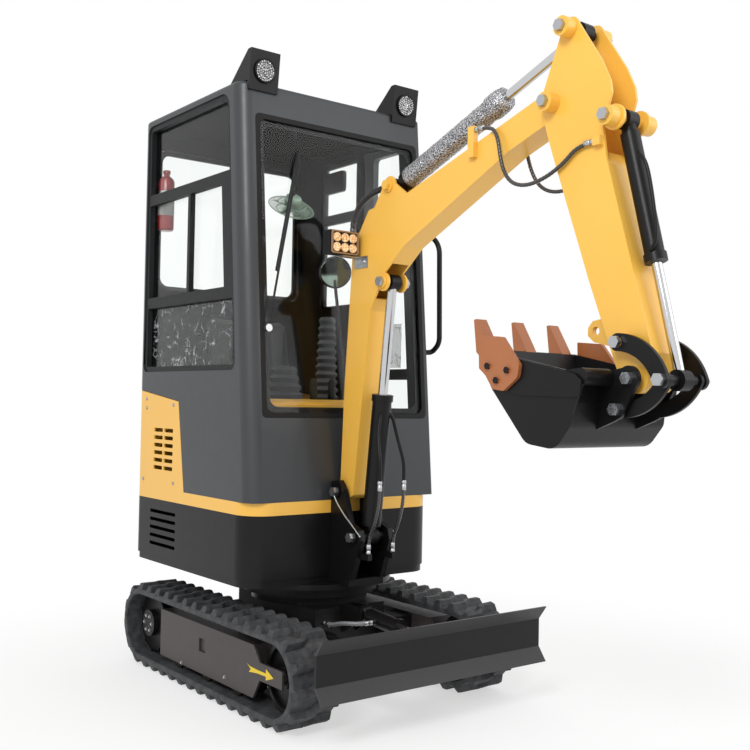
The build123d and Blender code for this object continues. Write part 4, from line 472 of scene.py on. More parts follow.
# Dozer blade: folded plate, black, with lips turned at its top and foot. The lips are painted
# greyer, a painted highlight where they catch the light
LIPS_FRONT, TOP_LIP, FOOT_LIP = SLEW + 0.70, 0.047, 0.052
# The grey of the lips is a painted highlight for the light they catch; the coat adds a little dust
lip_painted_highlight = coat("black_enamel_painted_highlight_and_dust", "#303032", "#29292b", 0.45, dust=0.08, shine=0.35)
dress("blade", black, lip_painted_highlight)
blade_low, blade_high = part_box("blade")
part_of("blade", 1, lambda c: c.x > LIPS_FRONT and (
    c.z > blade_high.z - TOP_LIP or c.z < blade_low.z + FOOT_LIP
))

# Cylinders: drawn tube barrels in black enamel, with rods ground and hard chromed. Each rod ends
# in a welded eye, black like the barrel
ROD_EYE_REACH = 0.034
chrome, tree, shader, place = new_finish("hard_chrome")
grind = add(tree, "ShaderNodeTexNoise", {"Vector": place, "Scale": 300})
rough = add(
    tree, "ShaderNodeMapRange", {"Value": grind.outputs["Fac"], "To Min": 0.08, "To Max": 0.16}
)
feed(tree, shader, {
    "Roughness": rough.outputs["Result"], "Base Color": colour("#c9cacc"), "Metallic": 1,
})
for name, eye_x, eye_z in (
    ("boom", 0.466, 1.428), ("stick", 1.293, 2.054), ("bucket", 1.623, 1.090), ("blade", 0.664, 0.262),
):
    dress(f"{name}_cylinder_barrel", black)
    dress(f"{name}_cylinder_rod", chrome, black)
    part_of(f"{name}_cylinder_rod", 1, lambda c: (
        (c.x - SLEW - eye_x) ** 2 + (c.z - eye_z) ** 2 < ROD_EYE_REACH ** 2
    ))

# Hoses: two-wire hydraulic hose under a wound guard, its turns one hose's thickness apart, crimped
# into zinc plated ends
GUARD_GROOVE, WOUND_STEP = 0.12, 0.0018
guard = coat("wound_guard_plastic", "#1b1a1a", "#2a2523", 0.27, gloss=0.5, shine=0.6)
bright_guard = coat("wound_guard_steel", "#8e9092", "#6f7173", 0.35, shine=0.6)


def smooth_line(name, route):
    """The points of a smooth curve led by a route's points, as one list."""
    line = bpy.data.curves.new(name, "CURVE")
    line.dimensions = "3D"
    spline = line.splines.new("NURBS")
    spline.points.add(len(route) - 1)
    for point, co in zip(spline.points, route):
        point.co = (*co, 1)
    spline.order_u = 3
    spline.use_endpoint_u = True
    spline.resolution_u = 24
    holder = bpy.data.objects.new(name, line)
    scene.collection.objects.link(holder)
    bpy.context.view_layer.update()
    mesh = plain_mesh(holder)
    points = [vertex.co.copy() for vertex in mesh.vertices]
    bpy.data.objects.remove(holder)
    bpy.data.meshes.remove(mesh)
    return points


def even_points(points, step):
    """Points at even steps along a line, and the line's length."""
    runs = [0.0]
    for a, b in zip(points, points[1:]):
        runs.append(runs[-1] + (b - a).length)
    count = max(2, round(runs[-1] / step))
    found, k = [], 0
    for i in range(count + 1):
        target = runs[-1] * i / count
        while k < len(runs) - 2 and runs[k + 1] < target:
            k += 1
        share = (target - runs[k]) / max(1e-9, runs[k + 1] - runs[k])
        found.append(points[k].lerp(points[k + 1], min(1, share)))
    return found, runs[-1]


def way_round(across, over, turn):
    """The way out from an axis, at that share of a turn from one way across it to the other."""
    return across * cos(2 * pi * turn) + over * sin(2 * pi * turn)


def ringed_mesh(name, rings):
    """A closed mesh through rings of points, with a flat face at each end."""
    shape = bmesh.new()
    loops = [[shape.verts.new(point) for point in ring] for ring in rings]
    for loop, after in zip(loops, loops[1:]):
        join_loops(shape, loop, after)
    shape.faces.new(loops[0])
    shape.faces.new(loops[-1])
    return shape_mesh(name, shape)


def tube_mesh(name, points, size, sides=14):
    """A closed tube round a line of points. size(run, turn) is its radius there."""
    across = (points[1] - points[0]).normalized().orthogonal().normalized()
    rings, run = [], 0.0
    for i, point in enumerate(points):
        forward = (points[min(i + 1, len(points) - 1)] - points[max(i - 1, 0)]).normalized()
        across = (across - forward * across.dot(forward)).normalized()
        over = forward.cross(across)
        if i:
            run += (point - points[i - 1]).length
        rings.append([
            point + way_round(across, over, k / sides) * size(run, k / sides) for k in range(sides)
        ])
    mesh = ringed_mesh(name, rings)
    mesh.shade_smooth()
    return mesh


def turned(name, start, end, profile, sides=24):
    """A closed turned shape on the axis from start to end. The profile is (share of length, radius)."""
    start, end = Vector(start), Vector(end)
    axis = end - start
    across = axis.orthogonal().normalized()
    over = axis.normalized().cross(across)
    mesh = ringed_mesh(name, [
        [start + axis * share + way_round(across, over, k / sides) * radius for k in range(sides)]
        for share, radius in profile
    ])
    for face in mesh.polygons:
        face.use_smooth = len(face.vertices) == 4
    return mesh


hose_routes = {
    "blade_hose": ("undercarriage", 0.0075, bright_guard, (
        (260, -112, 252), (306, -112, 252), (356, -118, 268), (406, -122, 278), (440, -88, 278),
        (440, -40, 278),
    )),
    "boom_hose": ("boom", 0.011, guard, (
        (281, 0, 1540), (238, 0, 1592), (229, 0, 1652), (258, 0, 1712), (322, 0, 1745),
        (392, 0, 1760), (452, 0, 1764),
    )),
}
for hand, sign in (("left", 1), ("right", -1)):
    hose_routes[f"base_hose_{hand}"] = ("house", 0.006, guard, tuple(
        (x, sign * y, z) for x, y, z in (
            (482, 52, 756), (482, 52, 703), (472, 52, 650), (452, 52, 600), (426, 52, 556),
            (426, 52, 505),
        )
    ))
    hose_routes[f"bucket_hose_{hand}"] = ("stick", 0.006, guard, tuple(
        (x, sign * y, z) for x, y, z in (
            (921, 51, 1850), (977, 51, 1850), (1020, 57, 1820), (1042, 62, 1722), (1080, 66, 1664),
            (1142, 68, 1641), (1216, 68, 1650), (1286, 67, 1680), (1336, 64, 1722), (1392, 64, 1722),
        )
    ))
hose_ends = {}
for name, (body, radius, finish, route) in hose_routes.items():
    route = [Vector((SLEW + x / 1000, y / 1000, z / 1000)) for x, y, z in route]
    wound, length = even_points(smooth_line(name, route), WOUND_STEP)
    mesh = tube_mesh(
        name, wound, lambda run, turn: radius * (
            1 - GUARD_GROOVE + GUARD_GROOVE * abs(sin(pi * (run / (2 * radius) + turn)))
        ),
    )
    hose = place_piece(name + "_wound", mesh, body, finish)
    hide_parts(name)
    for end, after in ((route[0], route[1]), (route[-1], route[-2])):
        way = (after - end).normalized()
        hose_ends.setdefault(body, []).append((end, way, way.orthogonal()))

# Crimped ends of the hoses but the boom's: a fluted sleeve pressed round the hose and a hexagon
# nut where it meets its port, both zinc plated
CRIMP_LENGTH = 0.034
crimp = turned("crimp", (0, 0, 0), (0, 0, CRIMP_LENGTH), (
    (0.0, 0.0072), (0.04, 0.0084), (0.30, 0.0084), (0.34, 0.0070), (0.42, 0.0070), (0.45, 0.0082),
    (0.95, 0.0082), (1.0, 0.0070),
), sides=16)
for body in ("undercarriage", "house", "stick"):
    set_copies(f"hose_ends_{body}", crimp.copy(), hose_ends[body], zinc, body)

# Crumpled sleeve that keeps the stick cylinder's barrel clean for shipping: silver bubble foil,
# wrapped round by hand, with a bulge over the gland
STICK_CYLINDER = (Vector((SLEW + 0.492, 0, 1.750)), Vector((SLEW + 1.293, 0, 2.054)))
SLEEVE_START, SLEEVE_STEP, SLEEVE_STEPS, SLEEVE_SIDES = 0.062, 0.004, 120, 28
SLEEVE_RADIUS, CREASE, SLEEVE_WAVE, BULGE = 0.0345, 0.0009, 0.0004, 0.0045
BULGE_START, BULGE_END = 0.405, 0.480
foil, tree, shader, place = new_finish("silver_bubble_foil")
bubbles = add(tree, "ShaderNodeTexVoronoi", {"Vector": place, "Scale": 170})
speckle = add(tree, "ShaderNodeTexNoise", {"Vector": place, "Scale": 260, "Detail": 3})
tone = add(tree, "ShaderNodeValToRGB", {"Fac": speckle.outputs["Fac"]})
for stop, at, code in zip(tone.color_ramp.elements, (0.40, 0.60), ("#4d4d50", "#d6d6d9")):
    stop.position, stop.color = at, colour(code)
bump = add(
    tree, "ShaderNodeBump", {"Height": bubbles.outputs["Distance"], "Strength": 1.0, "Distance": 0.003}
)
feed(tree, shader, {
    "Base Color": tone.outputs["Color"], "Normal": bump.outputs["Normal"], "Metallic": 0.75,
    "Roughness": 0.32,
})
axis = (STICK_CYLINDER[1] - STICK_CYLINDER[0]).normalized()
sleeve_line = [
    STICK_CYLINDER[0] + axis * (SLEEVE_START + SLEEVE_STEP * step) for step in range(SLEEVE_STEPS + 1)
]
creases = random.Random(7)
offsets = {}


def sleeve_size(run, turn):
    """Radius of the crumpled sleeve at that run along it and turn round it."""
    key = (round(run / SLEEVE_STEP), round(turn * SLEEVE_SIDES) % SLEEVE_SIDES)
    if key not in offsets:
        offsets[key] = creases.uniform(-CREASE, CREASE)
    rise, fall = (run - BULGE_START) / 0.015, (BULGE_END - run) / 0.020
    over_gland = BULGE * min(1, max(0, rise)) * min(1, max(0, fall))
    return SLEEVE_RADIUS + over_gland + offsets[key] + SLEEVE_WAVE * sin(run * 90)


mesh = tube_mesh("foil_sleeve", sleeve_line, sleeve_size, sides=SLEEVE_SIDES)
place_piece("foil_sleeve", mesh, "stick_barrel", foil)

# Steel pipe of the bucket cylinder, bent from thin tube in black enamel and clipped along the
# barrel's right side


def bent_pipe(name, route, radius, step, body, finish, sides=14):
    """A pipe bent along a route of points."""
    line, _ = even_points(smooth_line(name, route), step)
    mesh = tube_mesh(name, line, lambda run, turn: radius, sides=sides)
    return place_piece(name, mesh, body, finish)


pipe_route = [Vector((SLEW + x, -0.030, z)) for x, z in (
    (1.508, 1.676), (1.530, 1.664), (1.553, 1.570), (1.573, 1.431), (1.548, 1.420),
)]
bent_pipe("bucket_pipe", pipe_route, 0.005, 0.006, "bucket_barrel", black)

# Glass of the cab: clear toughened sheet, so thin that it bends no light. Its index is set low,
# which leaves the faint shine that the photograph shows on it
glass, tree, shader, place = new_finish("toughened_glass")
waves = add(tree, "ShaderNodeTexNoise", {"Vector": place, "Scale": 3, "Detail": 1})
bump = add(
    tree, "ShaderNodeBump", {"Height": waves.outputs["Fac"], "Strength": 0.02, "Distance": 0.001}
)
feed(tree, shader, {
    "Normal": bump.outputs["Normal"], "Base Color": colour("#fbfdfc"), "Roughness": 0.0,
    "Transmission Weight": 1, "Specular IOR Level": 0.1, "IOR": 1.18,
})
dress("cab_glass", glass)
dress("door_glass", glass)

# Rubber seals round the panes: extruded black strip, pressed over the edge of each opening. The
# windscreen also has a black border printed on the glass behind its seal
SCREEN_WAY = (0.996, 0, 0.084)
REAR_PANE = SLEW - 0.667
seal_rubber = coat("black_seal_rubber", "#101011", "#0a0a0b", 0.6, peel=0.3, shine=0.3)


def rounded(low, high, radius, steps=6):
    """Points round a rectangle with rounded corners, as pairs."""
    points = []
    for cx, cy, turn in (
        (high[0] - radius, high[1] - radius, 0), (low[0] + radius, high[1] - radius, pi / 2),
        (low[0] + radius, low[1] + radius, pi), (high[0] - radius, low[1] + radius, 1.5 * pi),
    ):
        for step in range(steps + 1):
            angle = turn + pi / 2 * step / steps
            points.append((cx + radius * cos(angle), cy + radius * sin(angle)))
    return points


def band(name, outer, inner, normal, depth, body, finish):
    """A flat closed band between two loops of as many points, that thick along its normal."""
    shape = bmesh.new()
    (near_out, near_in), (far_out, far_in) = [
        [[shape.verts.new(Vector(at) + Vector(normal) * off) for at in loop] for loop in (outer, inner)]
        for off in (0, depth)
    ]
    for first, second in (
        (near_out, near_in), (far_out, far_in), (near_out, far_out), (near_in, far_in),
    ):
        join_loops(shape, first, second)
    return place_piece(name, shape_mesh(name, shape), body, finish)


def on_screen(loop, off):
    """A loop of points that far in front of the windscreen's outer face."""
    return [(SLEW + rake_x(z) - 0.008 + off, y, z + RAKE * off) for y, z in loop]


screen_edge = rounded((-0.347, 0.960), (0.380, 2.022), 0.018)
screen_lip = rounded((-0.329, 0.978), (0.362, 2.004), 0.026)
screen_inner = rounded((-0.309, 0.998), (0.342, 1.986), 0.034)
for name, inner, off, depth, finish in (
    ("screen_seal", screen_lip, 0.0005, 0.009, seal_rubber),
    ("screen_border", screen_inner, -0.0075, 0.003, plastic),
):
    band(
        name, on_screen(screen_edge, off), on_screen(inner, off), SCREEN_WAY, depth, "house", finish
    )
rear_edge = rounded((-0.338, 1.462), (0.338, 2.033), 0.030)
rear_lip = rounded((-0.322, 1.478), (0.322, 2.017), 0.036)
band(
    "rear_seal", [(REAR_PANE, y, z) for y, z in rear_edge], [(REAR_PANE, y, z) for y, z in rear_lip],
    (1, 0, 0), 0.015, "house", seal_rubber,
)

# Shipping film on the lower right pane and the door's lower pane: thin clear plastic that clings
# to the glass and crinkles where it has come loose. Pale streaks along its creases are painted
# highlights
STEPS_ALONG, STEPS_UP, FILM_FOLD, FILM_PULL = 60, 24, 0.0022, (0.10, 0.10, 0.22)
film, tree, shader, place = new_finish("crinkled_clear_film_painted_highlights")
bend = add(
    tree, "ShaderNodeTexNoise", {"Vector": place, "Scale": 9, "Detail": 4, "Distortion": 1.5}
)
pulled = add(
    tree, "ShaderNodeVectorMath", {0: bend.outputs["Color"], 1: FILM_PULL, 2: place},
    operation="MULTIPLY_ADD",
)
wrinkle = add(
    tree, "ShaderNodeTexVoronoi", {"Vector": pulled.outputs["Vector"], "Scale": 15},
    feature="DISTANCE_TO_EDGE",
)
patches = add(tree, "ShaderNodeTexNoise", {"Vector": place, "Scale": 22, "Detail": 2})
smooth = add(
    tree, "ShaderNodeMapRange",
    {"Value": patches.outputs["Fac"], "From Min": 0.42, "From Max": 0.62, "To Max": 0.05},
)
crease = add(
    tree, "ShaderNodeMath", {0: wrinkle.outputs["Distance"], 1: smooth.outputs["Result"]},
    operation="ADD",
)
streak = add(
    tree, "ShaderNodeMapRange",
    {"Value": crease.outputs["Value"], "From Max": 0.05, "To Min": 0.95, "To Max": 0.5},
)
# Painted highlights: the film's colour is pale along its creases and near black between them
tone = add(tree, "ShaderNodeValToRGB", {"Fac": crease.outputs["Value"]})
for stop, at, code in zip(tone.color_ramp.elements, (0, 0.045), ("#c4c6c8", "#17181a")):
    stop.position, stop.color = at, colour(code)
bump = add(
    tree, "ShaderNodeBump", {"Height": wrinkle.outputs["Distance"], "Strength": 0.5, "Distance": 0.004}
)
feed(tree, shader, {
    "Base Color": tone.outputs["Color"], "Alpha": streak.outputs["Result"],
    "Normal": bump.outputs["Normal"], "Roughness": 0.2,
})
for name, y, low, high, body, seed in (
    ("right_film", -0.3725, (-0.594, 1.144), (0.036, 1.372), "house", 3),
    ("door_film", 0.3725, (-0.140, 1.156), (0.062, 1.330), "door", 5),
):
    folds = random.Random(seed)
    inward = 1 if y < 0 else -1
    shape = bmesh.new()
    rows = [
        [
            shape.verts.new((
                SLEW + low[0] + (high[0] - low[0]) * i / STEPS_ALONG,
                y + folds.uniform(0, FILM_FOLD) * inward,
                low[1] + (high[1] - low[1]) * j / STEPS_UP,
            ))
            for i in range(STEPS_ALONG + 1)
        ]
        for j in range(STEPS_UP + 1)
    ]
    for row, over in zip(rows, rows[1:]):
        for i in range(STEPS_ALONG):
            shape.faces.new((row[i], row[i + 1], over[i + 1], over[i]))
    mesh = shape_mesh(name, shape, turn_out=False)
    mesh.shade_smooth()
    place_piece(name, mesh, body, film)

# Roof lamps: folded black housings, each with a pressed ring round its lens. The lenses are clear
# plastic over rings of silvered facets
LAMP_X, LAMP_Y, LAMP_Z = 0.13229, 0.318, 2.16936
LENS_WAY = Vector((0.9943, 0, -0.1066))
FACET_RINGS, FACET_STEP = 5, 0.0083
facets, tree, shader, place = new_finish("silvered_lamp_facets")
cells = add(tree, "ShaderNodeTexVoronoi", {"Vector": place, "Scale": 210})
tone = add(tree, "ShaderNodeValToRGB", {"Fac": cells.outputs["Distance"]})
for stop, at, code in zip(tone.color_ramp.elements, (0.2, 0.75), ("#e8e8ea", "#77777a")):
    stop.position, stop.color = at, colour(code)
bump = add(
    tree, "ShaderNodeBump", {"Height": cells.outputs["Distance"], "Strength": 1.0, "Distance": 0.003}
)
feed(tree, shader, {
    "Base Color": tone.outputs["Color"], "Normal": bump.outputs["Normal"], "Metallic": 0.6,
    "Roughness": 0.3,
})


def turned_piece(name, start, end, profile, body, finish, sides=24):
    """A turned shape placed as a piece."""
    return place_piece(name, turned(name, start, end, profile, sides), body, finish)


dress("roof_lights", black)
facet = turned(
    "facet", (0, 0, 0), (0, 0, 0.0025), ((0, 0.0048), (0.6, 0.0042), (1.0, 0.0015)), sides=6
)
over = LENS_WAY.cross(Vector((0, 1, 0)))
spots = []
for hand, sign in (("right", -1), ("left", 1)):
    front = Vector((SLEW + LAMP_X, sign * LAMP_Y, LAMP_Z))
    turned_piece(
        f"lens_rim_{hand}", front - LENS_WAY * 0.001, front + LENS_WAY * 0.004,
        ((0, 0.0425), (0.6, 0.0425), (1.0, 0.0405), (1.0, 0.0375), (0.4, 0.0370)), "house", black,
        sides=40,
    )
    for ring in range(FACET_RINGS):
        count = max(1, 6 * ring)
        for k in range(count):
            out = way_round(over, Vector((0, 1, 0)), k / count)
            spots.append((front + out * FACET_STEP * ring, LENS_WAY, over))
set_copies("lamp_facets", facet, spots, facets, "house")

# Work light on the boom: a black moulded box on a plated bracket, with six round reflectors of
# warm diodes behind a bronze lacquered bezel
LIGHT_FRONT, LIGHT_INNER, BRACKET_TOP = SLEW + 0.3460, -0.0475, 1.5235
dress("work_light", plastic, zinc)
part_of("work_light", 1, lambda c: c.y > LIGHT_INNER or c.z < BRACKET_TOP)
amber, tree, shader, place = new_finish("warm_diode_reflector")
cells = add(tree, "ShaderNodeTexVoronoi", {"Vector": place, "Scale": 160})
tone = add(tree, "ShaderNodeValToRGB", {"Fac": cells.outputs["Distance"]})
for stop, at, code in zip(tone.color_ramp.elements, (0, 0.8), ("#fff0cf", "#c98d4a")):
    stop.position, stop.color = at, colour(code)
feed(tree, shader, {
    "Base Color": tone.outputs["Color"], "Emission Color": tone.outputs["Color"],
    "Emission Strength": 0.25, "Roughness": 0.25,
})
reflector = turned("reflector", (0, 0, 0), (0, 0, 0.004), (
    (0, 0.0158), (1.0, 0.0150), (1.0, 0.0138), (0.35, 0.0075), (0.5, 0.0050), (0.9, 0.0020),
), sides=20)
spots = [
    ((LIGHT_FRONT - 0.0002, -0.1500 + 0.0335 * k, z), (1, 0, 0), (0, 0, 1))
    for k in range(3) for z in (1.5480, 1.5820)
]
set_copies("work_light_diodes", reflector, spots, amber, "boom")
bezel = coat("bronze_lacquered_metal", "#a3805f", "#866649", 0.3, shine=0.6)
work_edge = rounded((-0.1735, 1.5255), (-0.0615, 1.6045), 0.008)
work_lip = rounded((-0.1685, 1.5305), (-0.0665, 1.5995), 0.006)
band(
    "work_light_bezel", [(LIGHT_FRONT, y, z) for y, z in work_edge],
    [(LIGHT_FRONT, y, z) for y, z in work_lip], (1, 0, 0), 0.006, "boom", bezel,
)

# Bolts: zinc plated hexagon heads on washers, forged and screwed in. They sit on the side panels,
# the work light's bracket, the track frames and the sprockets' hubs
PANEL_BOLTS = ((-0.573, 1.016), (-0.571, 0.980), (-0.340, 0.995), (-0.330, 0.700), (-0.590, 0.700))
PANEL_FACE, BRACKET_BOLTS, BRACKET_FACE = 0.4042, ((0.362, 1.504),), 0.0462
FRAME_BOLTS = ((-0.170, 0.068), (0.144, 0.088))
HUB_BOLTS = [
    (0.030 * cos(pi / 3 * k) - AXLES / 2, AXLE_Z + 0.030 * sin(pi / 3 * k)) for k in range(6)
]
BOLT_SIZE, BOLT_GAP = 0.8, 0.0002
frame_face, hub_face = [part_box(node)[1].y + BOLT_GAP for node in ("track_frames", "drive_sprockets")]
bolt = turned("bolt", (0, 0, -0.0005), (0, 0, 0.0065), (
    (0, 0.0092), (0.2, 0.0092), (0.22, 0.0068), (0.9, 0.0068), (1.0, 0.0056),
), sides=6)
bolt.shade_flat()
for body, groups in (
    ("house", ((PANEL_BOLTS, PANEL_FACE, (-1, 1)),)),
    ("boom", ((BRACKET_BOLTS, BRACKET_FACE, (-1,)),)),
    ("undercarriage", ((FRAME_BOLTS, frame_face, (-1, 1)), (HUB_BOLTS, hub_face, (-1, 1)))),
):
    spots = [
        ((SLEW + x, sign * y, z), (0, sign, 0), (1, 0, 0))
        for places, y, signs in groups for sign in signs for x, z in places
    ]
    set_copies(f"bolts_{body}", bolt.copy(), spots, zinc, body, size=BOLT_SIZE)

# Round mirror: flat silvered glass, held by a rim in a black moulded shell on a bent stem. Its
# roughness is that of a glass a little smeared
MIRROR_WAY = Vector((11, -6, 0)).normalized()
MIRROR_AT = Vector((SLEW + 0.0853, 0.030, 1.500))
dress("mirror", plastic)
mirror_glass, tree, shader, place = new_finish("silvered_mirror_glass")
smear = add(tree, "ShaderNodeTexNoise", {"Vector": place, "Scale": 40, "Detail": 3})
rough = add(
    tree, "ShaderNodeMapRange", {"Value": smear.outputs["Fac"], "To Min": 0.02, "To Max": 0.09}
)
feed(tree, shader, {
    "Roughness": rough.outputs["Result"], "Base Color": colour("#8f9f92"), "Metallic": 1,
})
turned_piece(
    "mirror_pane", MIRROR_AT, MIRROR_AT + MIRROR_WAY * 0.0012,
    ((0, 0.0545), (0.7, 0.0545), (1, 0.0535)), "house", mirror_glass, sides=48,
)
turned_piece(
    "mirror_rim", MIRROR_AT - MIRROR_WAY * 0.006, MIRROR_AT + MIRROR_WAY * 0.003,
    ((0, 0.0602), (0.8, 0.0600), (1.0, 0.0580), (1.0, 0.0552), (0.7, 0.0546)), "house", plastic,
    sides=48,
)

# Cab fan: a cage of bent wire round four moulded blades, with its motor behind, in pale green
# plastic. It hangs from the roof on a black stem
FAN_AT = Vector((SLEW + 0.036, -0.139, 1.727))
FAN_WAY = Vector((-0.6, 0.1, -0.79)).normalized()
CAGE_WIRES, CAGE_HALF, WIRE_RADIUS, RING_RADIUS = 30, 0.0145, 0.0010, 0.0016
CAGE_INNER, CAGE_SPAN, BLADE_SHEET = 0.016, 0.069, 0.0012
pale = coat("pale_green_plastic", "#9fb5a2", "#8da491", 0.4, peel=0.1)
smoky = coat("smoky_green_plastic", "#6c8274", "#5d7265", 0.35, peel=0.1)
fan_side = FAN_WAY.orthogonal().normalized()
fan_over = FAN_WAY.cross(fan_side)
wire_line = [
    Vector((CAGE_INNER + CAGE_SPAN * k / 10, 0, CAGE_HALF * (1 - (k / 10) ** 4))) for k in range(11)
]
wire_line += [Vector((p.x, 0, -p.z)) for p in reversed(wire_line[:-1])]
wire = tube_mesh("wire", wire_line, lambda run, turn: WIRE_RADIUS, sides=6)
spots = [(FAN_AT, FAN_WAY, way_round(fan_side, fan_over, k / CAGE_WIRES)) for k in range(CAGE_WIRES)]
cage = set_copies("fan_cage", wire, spots, pale, "house")
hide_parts("fan")
turned_piece("fan_hub", FAN_AT + FAN_WAY * CAGE_HALF, FAN_AT - FAN_WAY * 0.046, (
    (0, 0.012), (0.05, 0.018), (0.55, 0.018), (0.6, 0.030), (0.95, 0.028), (1.0, 0.020),
), "house", pale)
blades = bmesh.new()
for sheet in (0.0, BLADE_SHEET):
    for k in range(4):
        grid = [
            blades.verts.new(
                FAN_AT + way_round(fan_side, fan_over, k / 4 + lean / (2 * pi)) * reach
                + FAN_WAY * (0.022 * lean + sheet)
            )
            for reach in (0.018, 0.045, 0.072) for lean in (-0.32, 0.0, 0.32)
        ]
        for first in (0, 1, 3, 4):
            blades.faces.new([grid[first + step] for step in (0, 1, 4, 3)])
place_piece("fan_blades", shape_mesh("fan_blades", blades, turn_out=False), "house", smoky)
for name, radius, off in (
    ("fan_rim", 0.0845, 0.0), ("fan_ring_front", 0.052, 0.0125), ("fan_ring_back", 0.052, -0.0125),
):
    ring_line = [
        FAN_AT + FAN_WAY * off + radius * way_round(fan_side, fan_over, k / 48) for k in range(49)
    ]
    mesh = tube_mesh(name, ring_line, lambda run, turn: RING_RADIUS, sides=8)
    place_piece(name, mesh, "house", pale)
stem_top = Vector((SLEW + 0.0576, -0.1426, 2.097))
stem_low = FAN_AT - FAN_WAY * 0.036
turned_piece("fan_stem", stem_top, (stem_top.x, stem_top.y, stem_low.z), (
    (0, 0.012), (0.01, 0.012), (0.012, 0.005), (1.0, 0.005),
), "house", plastic)

# Fire extinguisher: drawn steel bottle in red enamel, with a bare label and a valve. A plated
# strap holds it to a moulded block on the cab's rear wall
BOTTLE_AT = Vector((SLEW - 0.590, -0.332, 1.694))
BOTTLE_UP = Vector((0, 0, 0.2445))
red = coat("red_gloss_enamel", "#a01c1e", "#8c1517", 0.3, gloss=0.4)
label = coat("plain_paper_label", "#b9bab8", "#a9aaa8", 0.6, peel=0.1)


def block(name, size, middle, edge, body, finish, move=None):
    """A block with rounded edges, placed as a piece. move may shift its corners first."""
    shape = bmesh.new()
    bmesh.ops.create_cube(shape, size=1)
    bmesh.ops.scale(shape, vec=size, verts=shape.verts)
    bmesh.ops.translate(shape, vec=middle, verts=shape.verts)
    if move:
        for vertex in shape.verts:
            move(vertex.co)
    round_edges(shape, edge)
    return place_piece(name, shape_mesh(name, shape, turn_out=False), body, finish)


bottle = turned_piece("extinguisher_bottle", BOTTLE_AT, BOTTLE_AT + BOTTLE_UP, (
    (0, 0.026), (0.02, 0.031), (0.04, 0.032), (0.80, 0.032), (0.85, 0.028), (0.89, 0.018), (0.90, 0.012),
    (0.94, 0.012), (0.945, 0.015), (0.99, 0.015), (1.0, 0.010),
), "house", red, sides=32)
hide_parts("fire_extinguisher")
for name, low, high, radius, finish in (
    ("extinguisher_label", 0.060, 0.135, 0.0325, label), ("extinguisher_strap", 0.143, 0.158, 0.0335, zinc),
):
    edge = radius - 0.0004
    turned_piece(
        name, BOTTLE_AT + Vector((0, 0, low)), BOTTLE_AT + Vector((0, 0, high)),
        ((0, edge), (0.02, radius), (0.98, radius), (1, edge)), "house", finish, sides=32,
    )
block(
    "extinguisher_holder", (0.018, 0.036, 0.108), (SLEW - 0.6235, -0.346, 1.789), 0.003, "house",
    plastic,
)

# Wiper: black painted arm and rubber blade on a plated pivot. The grab rail beside the door is a
# bent tube in black enamel
PIVOT_TOP = 1.288
dress("wiper", plastic, zinc)
part_of("wiper", 1, lambda c: c.z < PIVOT_TOP)
dress("grab_rail", black)

# Seat: foam cushion and backrest in black vinyl, sewn in three panels each, so that two seams run
# from front to back and up the backrest
SEAT_HALF, SEAT_EDGE, SEAMS, SEAM_REACH, SEAM_DEPTH = 0.190, 0.016, (-0.085, 0.085), 0.012, 0.004
SWELL_LIMIT, SWELL_FRAMES, KNIT = 0.010, 20, 0.008
SEAT_TOP, BACK_FRONT = 0.96, SLEW - 0.5
vinyl, tree, shader, place = new_finish("black_seat_vinyl")
crease = add(tree, "ShaderNodeTexVoronoi", {"Vector": place, "Scale": 220})
drift = add(tree, "ShaderNodeTexNoise", {"Vector": place, "Scale": 14, "Detail": 4})
tone = add(
    tree, "ShaderNodeMix", {0: drift.outputs["Fac"], 6: colour("#1b1b1d"), 7: colour("#262628")},
    data_type="RGBA",
)
bump = add(
    tree, "ShaderNodeBump", {"Height": crease.outputs["Distance"], "Strength": 0.3, "Distance": 0.0008}
)
feed(tree, shader, {
    "Base Color": tone.outputs[2], "Normal": bump.outputs["Normal"], "Roughness": 0.45,
})
for name, outline in (
    ("seat_cushion", ((-0.476, 0.900), (-0.086, 0.900), (-0.084, 0.985), (-0.380, 0.992), (-0.476, 0.985))),
    ("seat_back", ((-0.474, 0.990), (-0.398, 0.990), (-0.472, 1.352), (-0.532, 1.352))),
):
    shape = bmesh.new()
    flanks = [
        [shape.verts.new((SLEW + x, y, z)) for x, z in outline] for y in (-SEAT_HALF, SEAT_HALF)
    ]
    for flank in flanks:
        shape.faces.new(flank)
    join_loops(shape, *flanks)
    round_edges(shape, SEAT_EDGE, segments=3)
    cushion = bpy.data.objects.new(name, shape_mesh(name, shape, turn_out=False))
    scene.collection.objects.link(cushion)
    knit = cushion.modifiers.new("knit", "REMESH")
    knit.mode = "VOXEL"
    knit.voxel_size = KNIT
    cushion.data = plain_mesh(cushion)
    cushion.modifiers.clear()
    before = [vertex.co.copy() for vertex in cushion.data.vertices]
    cloth = cushion.modifiers.new("swell", "CLOTH")
    cloth.settings.use_pressure = True
    cloth.settings.uniform_pressure_force = 4
    cloth.settings.effector_weights.gravity = 0
    cloth.point_cache.frame_start = 1
    cloth.point_cache.frame_end = SWELL_FRAMES
    for step in range(1, SWELL_FRAMES + 1):
        scene.frame_set(step)
    swollen = plain_mesh(cushion)
    cushion.modifiers.clear()
    for vertex, start in zip(swollen.vertices, before):
        move = vertex.co - start
        if move.length > SWELL_LIMIT:
            vertex.co = start + move * (SWELL_LIMIT / move.length)
    cushion.data = swollen
    scene.frame_set(1)
    for vertex in cushion.data.vertices:
        for seam in SEAMS:
            near = abs(vertex.co.y - seam)
            if near < SEAM_REACH:
                inward = SEAM_DEPTH * (1 - near / SEAM_REACH)
                vertex.co.z -= inward if name == "seat_cushion" and vertex.co.z > SEAT_TOP else 0
                vertex.co.x -= inward if name == "seat_back" and vertex.co.x > BACK_FRONT else 0
    cushion.data.materials.append(vinyl)
    cushion.data.shade_smooth()
    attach(cushion, "house")
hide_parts("seat")

